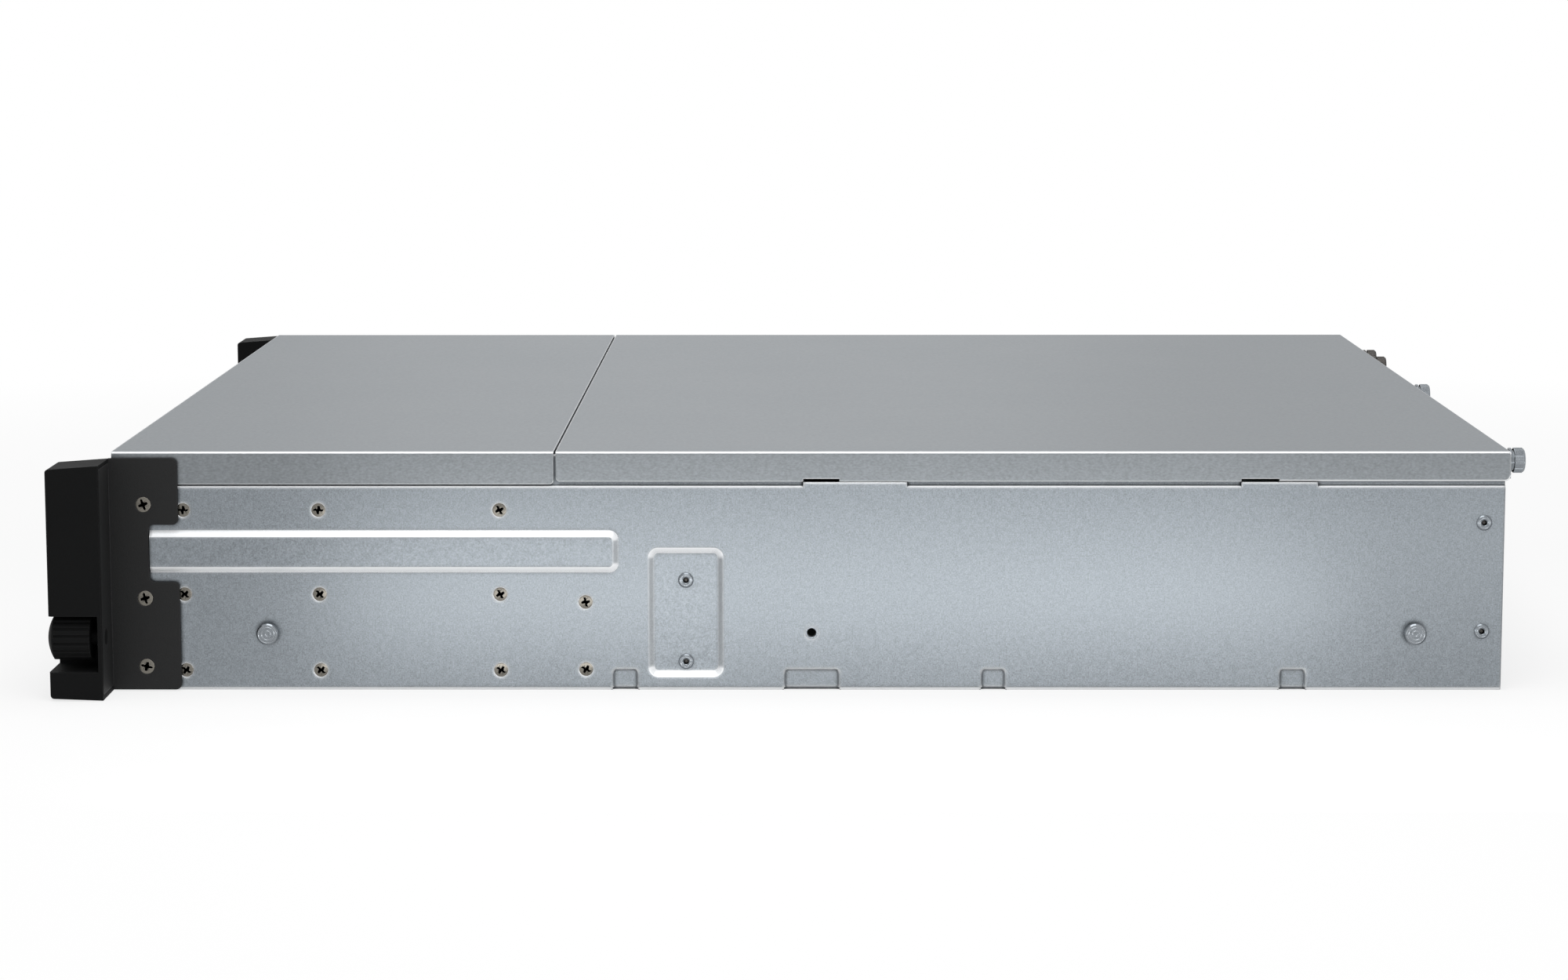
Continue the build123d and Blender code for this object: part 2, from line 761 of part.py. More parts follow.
# Fan rotors: hub, pitched blades and axle.
for number, x in enumerate(fan_xs, start=1):
    rotor_front = fan_front + rotor_front_gap
    rotor_end = fan_end - fan_spoke_depth - tray_clearance
    blade_chord = (rotor_end - rotor_front) / 2
    with BuildPart() as fan_rotor:
        with BuildSketch(cross_plane(rotor_end)):
            with Locations((x, fan_z)):
                Circle(fan_hub_r - fan_tip_gap)
        extrude(amount=rotor_end - rotor_front)
        with BuildSketch(cross_plane(fan_end - fan_frame_wall / 2)):
            with Locations((x, fan_z)):
                Circle(fan_axle_r)
        extrude(amount=fan_end - fan_frame_wall / 2 - rotor_end)
        blade_tip = fan_bore_r - fan_tip_gap
        blade_length = blade_tip - (fan_hub_r - fan_tip_gap) + blade_root
        blade = Box(blade_length, blade_chord, fan_blade_thickness, mode=Mode.PRIVATE)
        blade = Rot(fan_blade_angle, 0, 0) * blade
        blade = Pos(blade_tip - blade_length / 2, 0, 0) * blade
        for step in range(fan_blade_count):
            turned = Rot(0, step * 360 / fan_blade_count, 0) * blade
            add(Pos(x, front_y + (rotor_front + rotor_end) / 2, fan_z) * turned)
    save(fan_rotor.part, f"fan_rotor_{number}")


# Main board on its standoffs, between the power bay and the right wall.
psu_bay_left = -strip_inside + psu_side_gap
psu_pitch = psu_width + 2 * psu_travel_gap + psu_shelf
first_psu_x = psu_bay_left + psu_shelf + psu_travel_gap + psu_width / 2
psu_xs = [first_psu_x + i * psu_pitch for i in range(psu_count)]
psu_bay_right = psu_bay_left + psu_shelf + psu_count * psu_pitch
psu_bay_top = psu_low_z + psu_height + psu_travel_gap + psu_shelf
main_board_left = psu_bay_right + main_board_gap_left
main_board_right = wall_inside - main_board_gap_right
board_z = sheet + standoff_height
board_top = board_z + board_thickness
main_board_end = wall_length - sheet - main_board_end_gap
standoff_xs = (
    main_board_left + standoff_inset,
    heatsink_x - heatsink_size,
    main_board_right - standoff_inset,
)
standoff_ys = (main_board_start + standoff_inset, main_board_end - standoff_rear_inset)

with BuildPart() as main_board:
    box_between(
        (main_board_left, front_y + main_board_start, board_z),
        (main_board_right, front_y + main_board_end, board_top),
    )
    with BuildSketch(Plane.XY.offset(sheet)):
        with Locations([(x, front_y + y) for x in standoff_xs for y in standoff_ys]):
            RegularPolygon(standoff_r, 6)
    extrude(amount=standoff_height)
    box_between(
        (
            heatsink_x - package_size / 2,
            front_y + heatsink_y - package_size / 2,
            board_top,
        ),
        (
            heatsink_x + package_size / 2,
            front_y + heatsink_y + package_size / 2,
            board_top + package_height,
        ),
    )
save(main_board.part, "main_board")


# Heatsink: a base with fins along the airflow.
heatsink_low = board_top + package_height
fin_pitch = (heatsink_size - fin_thickness) / (heatsink_fins - 1)
with BuildPart() as heatsink:
    with BuildSketch(cross_plane(heatsink_y + heatsink_size / 2)):
        with Locations((heatsink_x, heatsink_low + heatsink_base / 2)):
            Rectangle(heatsink_size, heatsink_base)
        with Locations((heatsink_x, heatsink_low + heatsink_height / 2)):
            with GridLocations(fin_pitch, 1, heatsink_fins, 1):
                Rectangle(fin_thickness, heatsink_height)
    extrude(amount=heatsink_size)
save(heatsink.part, "heatsink")


# Memory modules, each standing in its socket.
with BuildPart() as memory_modules:
    for index in range(memory_count):
        x = memory_x - index * memory_pitch
        start = front_y + memory_y - memory_length / 2
        socket_end = start + memory_length + memory_socket_width
        box_between(
            (x - memory_socket_width / 2, start - memory_socket_width, board_top),
            (x + memory_socket_width / 2, socket_end, board_top + memory_socket_height),
        )
        box_between(
            (x - board_thickness / 2, start, board_top + memory_socket_height / 2),
            (x + board_thickness / 2, start + memory_length, board_top + memory_height),
        )
save(memory_modules.part, "memory_modules")


# Network jack: a row of plug sockets in one shell, open to the rear.
jack_face = wall_length + panel_port_fit
jack_pitch = jack_port_width + jack_wall
jack_width = jack_ports * jack_pitch + jack_wall
jack_port_z = board_top + jack_height / 2

with BuildPart() as network_jack:
    box_between(
        (jack_x - jack_width / 2, front_y + jack_face - jack_depth, board_top),
        (jack_x + jack_width / 2, front_y + jack_face, board_top + jack_height),
    )
    with BuildSketch(cross_plane(jack_face)):
        with Locations((jack_x, jack_port_z)):
            with GridLocations(jack_pitch, 1, jack_ports, 1):
                Rectangle(jack_port_width, jack_port_height)
    extrude(amount=jack_port_depth, mode=Mode.SUBTRACT)
save(network_jack.part, "network_jack")


# Data ports: stacked pairs of flat sockets, each with its contact tongue.
with BuildPart() as data_ports:
    for x in usb_xs:
        box_between(
            (x - usb_width / 2, front_y + jack_face - usb_depth, board_top),
            (x + usb_width / 2, front_y + jack_face, board_top + usb_height),
        )
    with BuildSketch(cross_plane(jack_face)):
        with Locations([(x, board_top + usb_height / 2) for x in usb_xs]):
            with GridLocations(1, usb_height / 2, 1, 2):
                Rectangle(usb_port_width, usb_port_height)
                Rectangle(usb_port_width - 2 * jack_wall, jack_wall, mode=Mode.SUBTRACT)
    extrude(amount=usb_depth - jack_wall, mode=Mode.SUBTRACT)
save(data_ports.part, "data_ports")


# Rear panel: port window, slot, vent and power openings; slot covers and port shield behind it.
panel_top = strip_top - cover_fit
all_thumb_xs = thumb_xs + dark_thumb_xs
port_window_left = min(usb_xs) - usb_width / 2 - shield_margin
port_window_right = jack_x + jack_width / 2 + shield_margin
port_window_width = port_window_right - port_window_left
port_window_middle = ((port_window_left + port_window_right) / 2, board_top - shield_drop + shield_height / 2)

with BuildPart() as rear_panel:
    with BuildSketch(cross_plane(wall_length)):
        with Locations((0, (sheet + panel_top) / 2)):
            Rectangle(2 * (strip_inside - panel_fit), panel_top - sheet)
        with Locations((0, (bend_radius + shoulder_z - 2 * sheet) / 2)):
            Rectangle(2 * wall_inside, shoulder_z - 2 * sheet - bend_radius)
        with Locations(((psu_bay_left + psu_bay_right) / 2, (sheet * 2 + psu_bay_top) / 2)):
            Rectangle(psu_bay_right - psu_bay_left, psu_bay_top - sheet * 2, mode=Mode.SUBTRACT)
        with Locations(port_window_middle):
            Rectangle(port_window_width, shield_height, mode=Mode.SUBTRACT)
        with Locations([(x, slot_low_z + slot_height / 2) for x in slot_xs]):
            Rectangle(slot_width, slot_height, mode=Mode.SUBTRACT)
        for center_x, columns in vent_groups:
            with Locations((center_x, vent_center_z)):
                with HexLocations(vent_pitch / 2, columns, vent_rows, major_radius=False):
                    RegularPolygon(vent_r, 6, mode=Mode.SUBTRACT)
        for x in all_thumb_xs:
            thumb_slot_r = thumb_shank_r + thumb_shank_fit
            with Locations((x, (thumb_z + panel_top + thumb_r) / 2)):
                Rectangle(2 * thumb_slot_r, panel_top - thumb_z + thumb_r, mode=Mode.SUBTRACT)
            with Locations((x, thumb_z)):
                Circle(thumb_slot_r, mode=Mode.SUBTRACT)
    extrude(amount=sheet)
    for side in (-1, 1):
        plate_x = side * (wall_inside - sheet / 2)
        box_between(
            (plate_x - sheet / 2, rear_y - panel_flange, sheet * 2 + bend_radius),
            (plate_x + sheet / 2, rear_y, shoulder_z - 2 * sheet),
        )
        with BuildSketch(facing_plane(side, wall_inside - sheet)):
            with Locations([(side * (front_y + y), z) for y, z in wall_rivets]):
                Circle(rivet_shank_r + screw_hole_fit)
        extrude(amount=sheet, mode=Mode.SUBTRACT)
with BuildPart() as slot_covers:
    with BuildSketch(cross_plane(wall_length - sheet)):
        with Locations([(x, slot_low_z + slot_height / 2) for x in slot_xs]):
            Rectangle(slot_cover_width, slot_cover_height)
    extrude(amount=sheet)
with BuildPart() as port_shield:
    with BuildSketch(cross_plane(wall_length - sheet)):
        with Locations(port_window_middle):
            Rectangle(port_window_width + 2 * shield_lap, shield_height + 2 * shield_lap)
        with Locations((jack_x, jack_port_z)):
            Rectangle(
                jack_width + 2 * panel_port_fit,
                jack_height + 2 * panel_port_fit,
                mode=Mode.SUBTRACT,
            )
        with Locations([(x, board_top + usb_height / 2) for x in usb_xs]):
            Rectangle(
                usb_width + 2 * panel_port_fit,
                usb_height + 2 * panel_port_fit,
                mode=Mode.SUBTRACT,
            )
    extrude(amount=shield_sheet)
save(Compound([rear_panel.part, slot_covers.part, port_shield.part]), "rear_panel")


# Power bay: floor, roof and three upright plates, with a socket board at its end.
psu_front = wall_length - psu_length
psu_bay_front = psu_front - power_board_length
bay_floor_top = psu_low_z - psu_travel_gap
bay_roof_low = psu_bay_top - psu_shelf
with BuildPart() as bay_floor:
    box_between(
        (psu_bay_left, front_y + psu_bay_front, sheet),
        (psu_bay_right, rear_y - sheet, bay_floor_top),
    )
with BuildPart() as bay_roof:
    box_between(
        (psu_bay_left, front_y + psu_bay_front, bay_roof_low),
        (psu_bay_right, rear_y - sheet, psu_bay_top),
    )
    with BuildSketch(Plane.XY.offset(bay_roof_low)):
        for x in psu_xs:
            with Locations((x, front_y + psu_front + psu_length / 2)):
                with GridLocations(1, divider_window_length / 2, 1, 3):
                    Rectangle(divider_window_length, divider_window_height)
        chamfer(vertices(), window_corner)
    extrude(amount=psu_shelf, mode=Mode.SUBTRACT)
bay_pieces = [bay_floor.part, bay_roof.part]
for i in range(psu_count + 1):
    plate_x = psu_bay_left + i * psu_pitch
    with BuildPart() as bay_upright:
        box_between(
            (plate_x, front_y + psu_bay_front, bay_floor_top),
            (plate_x + psu_shelf, rear_y - sheet, bay_roof_low),
        )
    bay_pieces.append(bay_upright.part)
socket_low_z = psu_low_z + power_socket_height
for x in psu_xs:
    with BuildPart() as power_board:
        board_y = front_y + psu_bay_front + board_thickness
        box_between(
            (x - psu_width / 2, board_y - board_thickness, bay_floor_top),
            (x + psu_width / 2, board_y, psu_low_z + psu_height),
        )
        box_between(
            (x - power_socket_width / 2, board_y, socket_low_z),
            (
                x + power_socket_width / 2,
                front_y + psu_front - psu_travel_gap,
                socket_low_z + power_socket_height,
            ),
        )
    bay_pieces.append(power_board.part)
save(Compound(bay_pieces), "power_bay")


# Power modules: case, and an end with fan guard, plug inlet, pull handle and latch lugs.
psu_face = wall_length
module_end_y = psu_face - module_end_depth
middle_z = psu_low_z + psu_height / 2
lug_z = latch_height / 2 + latch_lug_gap + latch_lug_height / 2
for number, psu_x in enumerate(psu_xs, start=1):
    pivot_x = psu_x + latch_x
    pivot_y = rear_y + latch_pivot_y
    handle_left = psu_x + psu_fan_x - handle_width / 2 + handle_bar / 2
    handle_right = psu_x + psu_fan_x + handle_width / 2 - handle_bar / 2
    handle_y = rear_y + handle_reach - handle_bar / 2
    with BuildPart() as module_case:
        box_between(
            (psu_x - psu_width / 2, front_y + psu_front, psu_low_z),
            (psu_x + psu_width / 2, front_y + module_end_y, psu_low_z + psu_height),
        )
    with BuildPart() as module_end:
        box_between(
            (psu_x - psu_width / 2, front_y + module_end_y, psu_low_z),
            (psu_x + psu_width / 2, front_y + psu_face, psu_low_z + psu_height),
        )
        with BuildSketch(cross_plane(psu_face)):
            with Locations((psu_x + inlet_x, middle_z)):
                Rectangle(inlet_width, inlet_height)
                chamfer(vertices().group_by(Axis.Y)[-1], inlet_corner)
        extrude(amount=inlet_depth, mode=Mode.SUBTRACT)
        with BuildSketch(cross_plane(psu_face)):
            with Locations((psu_x + psu_fan_x, middle_z)):
                Circle(psu_fan_r)
                for ring_r in psu_guard_rings:
                    Circle(ring_r, mode=Mode.SUBTRACT)
                    Circle(ring_r - psu_guard_wire)
                for angle in (45, 135):
                    Rectangle(2 * psu_fan_r, psu_guard_wire, rotation=angle, mode=Mode.SUBTRACT)
        extrude(amount=psu_fan_recess, mode=Mode.SUBTRACT)
        with BuildSketch(Plane.XY.offset(middle_z - handle_height / 2)):
            with BuildLine():
                FilletPolyline(
                    (handle_left, rear_y - handle_bar / 2),
                    (handle_left, handle_y),
                    (handle_right, handle_y),
                    (handle_right, rear_y - handle_bar / 2),
                    radius=handle_bar,
                )
                offset(amount=handle_bar / 2, side=Side.BOTH)
            make_face()
        extrude(amount=handle_height)
        for side in (-1, 1):
            lug_middle = middle_z + side * lug_z
            box_between(
                (pivot_x - latch_knuckle_r, rear_y, lug_middle - latch_lug_height / 2),
                (pivot_x + latch_knuckle_r, pivot_y + latch_knuckle_r, lug_middle + latch_lug_height / 2),
            )
        with BuildSketch(Plane.XY.offset(middle_z - lug_z - latch_lug_height / 2)):
            with Locations((pivot_x, pivot_y)):
                Circle(latch_pin_r + latch_pin_fit)
        extrude(amount=2 * lug_z + latch_lug_height, mode=Mode.SUBTRACT)
    save(Compound([module_case.part, module_end.part]), f"power_module_{number}")
    with BuildPart() as power_latch:
        box_between(
            (pivot_x - latch_thickness / 2, pivot_y, middle_z - latch_height / 2),
            (pivot_x + latch_thickness / 2, rear_y + latch_reach, middle_z + latch_height / 2),
        )
        fillet(edges().filter_by(Axis.Z).group_by(Axis.Y)[-1], latch_pin_r)
        with BuildSketch(Plane.XY.offset(middle_z - latch_height / 2)):
            with Locations((pivot_x, pivot_y)):
                Circle(latch_knuckle_r)
        extrude(amount=latch_height)
        with BuildSketch(Plane.XY.offset(middle_z - lug_z)):
            with Locations((pivot_x, pivot_y)):
                Circle(latch_pin_r)
        extrude(amount=2 * lug_z)
    save(power_latch.part, f"power_latch_{number}")


def thumbscrew(x, knob_r):
    # a knob with a collar behind it, a dished end and a short captive shank
    lip = cover_end
    seat = lip + thumb_seat_gap
    with BuildPart() as screw:
        with BuildSketch(cross_plane(seat + thumb_collar)) as outline:
            with Locations((x, thumb_z)):
                Circle(knob_r)
        extrude(outline.sketch, amount=thumb_collar)
        with BuildSketch(cross_plane(seat + thumb_proud)) as outline:
            with Locations((x, thumb_z)):
                Circle(knob_r)
        extrude(outline.sketch, amount=thumb_proud - thumb_collar)
        chamfer(edges().group_by(Axis.Y)[-1], thumb_bevel)
        with BuildSketch(cross_plane(seat)) as outline:
            with Locations((x, thumb_z)):
                Circle(thumb_shank_r)
        extrude(outline.sketch, amount=thumb_seat_gap + cover_sheet + sheet)
    return screw.part


# Thumbscrews of the rear cover: two bright ones and two small dark ones.
for name, x in zip(("side", "middle"), thumb_xs):
    save(thumbscrew(x, thumb_r), f"cover_thumbscrew_{name}")
for number, x in enumerate(dark_thumb_xs, start=1):
    save(thumbscrew(x, dark_thumb_r), f"dark_thumbscrew_{number}")


# Ears, modelled on the right side and mirrored to the left.
ear_outer = half_width + ear_width
ear_inner = half_width
bracket_face_x = half_width + bracket_thickness
flange_front = -flange_back - bracket_thickness
mirror_plane = Plane.YZ
flange_middle = ((half_width + ear_outer - ear_wall) / 2, (bracket_low_z + bracket_top_z) / 2)
flange_sizes = (ear_outer - ear_wall - half_width, bracket_top_z - bracket_low_z - 2 * ear_wall)
notch_height = bracket_notch_high_z - bracket_notch_low_z

with BuildPart() as ear_bracket:
    with BuildSketch(Plane.YZ.offset(half_width)):
        side_outline(-flange_back, bracket_length, bracket_low_z, bracket_top_z)
        notch_y = front_y + bracket_notch_y + bracket_length / 2
        with Locations((notch_y, bracket_notch_low_z + notch_height / 2)):
            Rectangle(bracket_length, notch_height, mode=Mode.SUBTRACT)
        rear_limit = front_y + 2 * bracket_length
        rear_corners = vertices().filter_by_position(Axis.X, front_y + flange_back, rear_limit)
        fillet(rear_corners, bracket_corner)
    extrude(amount=bracket_thickness)
    with BuildSketch(cross_plane(-flange_back)):
        with Locations(flange_middle):
            Rectangle(*flange_sizes)
        with Locations((rack_screw_x, rack_screw_z)):
            Circle(rack_shank_r + rack_shank_fit, mode=Mode.SUBTRACT)
    extrude(amount=bracket_thickness)
    with BuildSketch(inward_plane(bracket_face_x)):
        with Locations([(-(front_y + y), z) for y, z in ear_screws_at]):
            Circle(ear_screw_head_r + screw_hole_fit / 2)
    extrude(amount=ear_screw_head_r - screw_shank_r, taper=45, mode=Mode.SUBTRACT)
    with BuildSketch(inward_plane(bracket_face_x)):
        with Locations([(-(front_y + y), z) for y, z in ear_screws_at]):
            Circle(screw_shank_r + screw_hole_fit)
    extrude(amount=bracket_thickness, mode=Mode.SUBTRACT)
save(ear_bracket.part, "ear_bracket_right")
save(mirror(ear_bracket.part, about=mirror_plane), "ear_bracket_left")

# The moulded ear cover: drafted towards the front, hollow for the screw knob.
with BuildPart() as ear_cover:
    with BuildSketch(Plane.YZ.offset(ear_inner)):
        with BuildLine():
            Polyline(
                (front_y - ear_depth, ear_low_z + ear_front_drop / 2),
                (front_y - ear_depth, ear_top_z - ear_front_drop),
                (front_y - flange_back, ear_top_z),
                (front_y - flange_back, ear_low_z),
                close=True,
            )
        make_face()
    extrude(amount=ear_outer - ear_inner)
    fillet(edges().group_by(Axis.Y)[0], ear_front_round)
    with BuildSketch(cross_plane(-flange_back)):
        with Locations(flange_middle):
            Rectangle(*flange_sizes)
    extrude(amount=bracket_thickness, mode=Mode.SUBTRACT)
    box_between(
        (half_width + cavity_inner_wall, front_y - 2 * ear_depth, cavity_low_z),
        (ear_outer + ear_wall, front_y + flange_front, cavity_high_z),
        mode=Mode.SUBTRACT,
    )
save(ear_cover.part, "ear_cover_right")

with BuildPart() as ear_cover_left:
    add(mirror(ear_cover.part, about=mirror_plane))
    with BuildSketch(cross_plane(0)):
        with Locations((-rack_screw_x, power_button_z)):
            Circle(power_button_r + power_button_fit)
    extrude(amount=2 * ear_depth, mode=Mode.SUBTRACT)
save(ear_cover_left.part, "ear_cover_left")

# The power button sits in the left ear, flush with its face.
with BuildPart() as power_button:
    with BuildSketch(cross_plane(-ear_depth + power_button_length)):
        with Locations((-rack_screw_x, power_button_z)):
            Circle(power_button_r)
    extrude(amount=power_button_length)
    fillet(edges().group_by(Axis.Y)[0], power_button_round)
save(power_button.part, "power_button")

# Rack screws: ribbed knobs with a domed end and a captive shank in the ear flange.
with BuildPart() as rack_screw:
    knob_start = -ear_depth - knob_proud
    knob_end = knob_start + rack_knob_length
    dome_r = (rack_knob_r ** 2 + rack_knob_dome ** 2) / (2 * rack_knob_dome)
    half_dome = dome_r - sqrt(dome_r ** 2 - (rack_knob_r / 2) ** 2)
    with BuildSketch(Plane.XY.offset(rack_screw_z)):
        with BuildLine():
            Polyline(
                (rack_screw_x, front_y + knob_start),
                (rack_screw_x, front_y - flange_back),
                (rack_screw_x + rack_shank_r, front_y - flange_back),
                (rack_screw_x + rack_shank_r, front_y + knob_end),
                (rack_screw_x + rack_knob_r, front_y + knob_end),
                (rack_screw_x + rack_knob_r, front_y + knob_start + rack_knob_dome),
            )
            ThreePointArc(
                (rack_screw_x + rack_knob_r, front_y + knob_start + rack_knob_dome),
                (rack_screw_x + rack_knob_r / 2, front_y + knob_start + half_dome),
                (rack_screw_x, front_y + knob_start),
            )
        make_face()
    revolve(axis=Axis((rack_screw_x, 0, rack_screw_z), (0, 1, 0)))
    with BuildSketch(cross_plane(knob_end)):
        with Locations((rack_screw_x, rack_screw_z)):
            with PolarLocations(rack_knob_r, knob_rib_count, start_angle=180 / knob_rib_count):
                Rectangle(2 * knob_rib_depth, 2 * knob_rib_depth, rotation=45)
    extrude(amount=rack_knob_length - rack_knob_dome - knob_rib_depth, mode=Mode.SUBTRACT)
save(rack_screw.part, "rack_screw_right")
save(mirror(rack_screw.part, about=mirror_plane), "rack_screw_left")


def flush_screws(places, face_x, head_r, seat_depth, length):
    # flat-head screws along X, heads flush with the face, on both sides
    with BuildPart() as screws:
        for y, z in places:
            with BuildSketch(inward_plane(face_x)) as outline:
                with Locations((-(front_y + y), z)):
                    Circle(head_r)
            extrude(outline.sketch, amount=seat_depth, taper=45)
            with BuildSketch(inward_plane(face_x)) as outline:
                with Locations((-(front_y + y), z)):
                    Circle(screw_shank_r)
            extrude(outline.sketch, amount=length)
        mirror(about=mirror_plane)
    return screws.part


# Screws through the tub into the cage, and through the ear brackets into the tub.
cage_screw_length = half_width - cage_interior_half
save(flush_screws(wall_screws, half_width, cage_screw_head_r, sheet, cage_screw_length), "cage_screws")
ear_screw_length = bracket_thickness + sheet + (wall_inside - cage_half) / 2
ear_seat_depth = ear_screw_head_r - screw_shank_r
save(
    flush_screws(ear_screws_at, bracket_face_x, ear_screw_head_r, ear_seat_depth, ear_screw_length),
    "ear_screws",
)

# Blind rivets with open mandrel holes.
with BuildPart() as rivets:
    for face_x, places in ((half_width, wall_rivets), (half_width - recess_depth, recess_rivets)):
        for y, z in places:
            with BuildSketch(outward_plane(face_x)):
                with Locations((front_y + y, z)):
                    Circle(rivet_head_r)
                    Circle(rivet_hole_r, mode=Mode.SUBTRACT)
            extrude(amount=rivet_head_height)
            with BuildSketch(inward_plane(face_x)):
                with Locations((-(front_y + y), z)):
                    Circle(rivet_shank_r)
                    Circle(rivet_hole_r, mode=Mode.SUBTRACT)
            extrude(amount=2 * sheet)
    mirror(about=mirror_plane)
save(rivets.part, "rivets")

# Rail posts: shouldered studs that hook into the rack rails.
with BuildPart() as rail_posts:
    for y in rail_post_ys:
        with BuildSketch(outward_plane(half_width)):
            with Locations((front_y + y, rail_post_z)):
                Circle(rail_post_r)
        extrude(amount=rail_post_height)
        with BuildSketch(inward_plane(half_width)):
            with Locations((-(front_y + y), rail_post_z)):
                Circle(rail_post_tail_r)
        extrude(amount=sheet)
    chamfer(edges().group_by(Axis.X)[-1], rail_post_r - rail_post_end_r)
    mirror(about=mirror_plane)
save(rail_posts.part, "rail_posts")


# Drive trays: bezel, side rails and the drive they hold, with a swinging lever each.
bezel_width = column_pitch - bezel_gap
bezel_height = row_pitch - bezel_gap
tray_width = bay_width - 2 * tray_clearance
rail_gap = (tray_width - drive_width) / 2
bezel_front = -bezel_proud
lever_front = bezel_front + tray_clearance
lever_back = lever_front + lever_thickness
recess_back = bezel_front + bezel_recess
lever_pivot_y = lever_front + lever_knuckle_r
for index, (x, floor_z) in enumerate(bay_centers, start=1):
    middle_z = floor_z + bay_height / 2
    bezel_left = x - bezel_width / 2
    pivot_x = bezel_left + bezel_rim + lever_pivot_inset
    inner_height = bezel_height - 2 * bezel_rim
    lever_height = inner_height - 2 * tray_clearance
    lever_end = x + bezel_width / 2 - bezel_rim - lever_end_gap
    with BuildPart() as tray:
        with BuildSketch(cross_plane(cage_start - tray_clearance)):
            with Locations((x, middle_z)):
                Rectangle(bezel_width, bezel_height)
        extrude(amount=cage_start - tray_clearance - bezel_front)
        fillet(edges().group_by(Axis.Y)[0], bezel_round)
        with BuildSketch(cross_plane(bezel_back)):
            with Locations((x, middle_z)):
                Rectangle(tray_width, drive_height)
        extrude(amount=bezel_back - cage_start + tray_clearance)
        with BuildSketch(cross_plane(recess_back)):
            with Locations((x, middle_z)):
                Rectangle(bezel_width - 2 * bezel_rim, inner_height)
        extrude(amount=bezel_recess, mode=Mode.SUBTRACT)
        box_between(
            (lever_end + catch_gap, front_y + lever_front, middle_z - catch_height / 2),
            (lever_end + catch_gap + catch_width, front_y + recess_back, middle_z + catch_height / 2),
        )
        with BuildSketch(cross_plane(bezel_back)):
            with Locations((x, middle_z)):
                with GridLocations(bezel_width / (tray_vent_count + 1), 1, tray_vent_count, 1):
                    Rectangle(tray_vent_width, tray_vent_height)
        extrude(amount=bezel_back - recess_back, mode=Mode.SUBTRACT)
        for side in (-1, 1):
            rail_x = x + side * (drive_width / 2 + rail_gap / 2)
            box_between(
                (rail_x - rail_gap / 2, front_y + bezel_back, middle_z - drive_height / 2),
                (rail_x + rail_gap / 2, front_y + tray_end, middle_z - drive_height / 2 + tray_rail_height),
            )
        with BuildSketch(Plane.XY.offset(middle_z - inner_height / 2 - bezel_rim / 2)):
            with Locations((pivot_x, front_y + lever_pivot_y)):
                Circle(lever_pin_r + lever_pin_fit)
        extrude(amount=inner_height + bezel_rim, mode=Mode.SUBTRACT)
    with BuildPart() as drive:
        box_between(
            (x - drive_width / 2, front_y + drive_start, middle_z - drive_height / 2),
            (x + drive_width / 2, front_y + drive_end, middle_z + drive_height / 2),
        )
        chamfer(edges().filter_by(Axis.Y), tray_rail_thickness / 2)
    save(Compound([tray.part, drive.part]), f"drive_tray_{index}")

    with BuildPart() as lever:
        box_between(
            (pivot_x, front_y + lever_front, middle_z - lever_height / 2),
            (lever_end, front_y + lever_back, middle_z + lever_height / 2),
        )
        with BuildSketch(Plane.XY.offset(middle_z - lever_height / 2)):
            with Locations((pivot_x, front_y + lever_pivot_y)):
                Circle(lever_knuckle_r)
        extrude(amount=lever_height)
        with BuildSketch(Plane.XY.offset(middle_z - inner_height / 2 - bezel_rim / 3)):
            with Locations((pivot_x, front_y + lever_pivot_y)):
                Circle(lever_pin_r)
        extrude(amount=inner_height + 2 * bezel_rim / 3)
        with BuildSketch(cross_plane(lever_back)):
            with Locations(((pivot_x + lever_end) / 2, middle_z)):
                with GridLocations((lever_end - pivot_x) / (lever_slot_count + 1), 1, lever_slot_count, 1):
                    Rectangle(lever_slot_width, lever_height * lever_slot_share)
        extrude(amount=lever_thickness, mode=Mode.SUBTRACT)
    save(lever.part, f"tray_lever_{index}")
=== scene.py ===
import math
import random

import bmesh
import bpy
from mathutils import Matrix, Vector


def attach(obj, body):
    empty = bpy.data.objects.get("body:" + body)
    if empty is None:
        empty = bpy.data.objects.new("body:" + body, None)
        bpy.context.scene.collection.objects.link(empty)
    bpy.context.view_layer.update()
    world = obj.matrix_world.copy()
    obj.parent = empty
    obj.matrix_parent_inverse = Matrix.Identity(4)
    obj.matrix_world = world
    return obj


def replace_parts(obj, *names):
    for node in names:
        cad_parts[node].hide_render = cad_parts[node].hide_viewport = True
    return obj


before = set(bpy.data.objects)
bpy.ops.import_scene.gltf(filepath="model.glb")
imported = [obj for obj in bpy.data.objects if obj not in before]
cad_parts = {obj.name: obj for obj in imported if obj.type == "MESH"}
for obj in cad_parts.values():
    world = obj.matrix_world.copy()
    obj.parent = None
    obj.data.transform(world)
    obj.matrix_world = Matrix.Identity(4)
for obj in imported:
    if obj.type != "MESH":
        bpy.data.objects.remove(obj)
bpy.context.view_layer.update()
print("frame loaded:", len(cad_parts), "nodes")

mm = 0.001
weldReach = 0.0005 * mm
shaderSamples = 4


# node helpers shared by every finish

def feed(tree, socket, value):
    # links a socket, or sets a plain value
    if isinstance(value, bpy.types.NodeSocket):
        tree.links.new(value, socket)
    else:
        socket.default_value = value


def addNode(tree, kind, inputs=(), **settings):
    made = tree.nodes.new("ShaderNode" + kind)
    for key, value in settings.items():
        setattr(made, key, value)
    for key, value in dict(inputs).items():
        feed(tree, made.inputs[key], value)
    return made


def calc(tree, operation, first, second=0.0):
    return addNode(tree, "Math", {0: first, 1: second}, operation=operation).outputs[0]


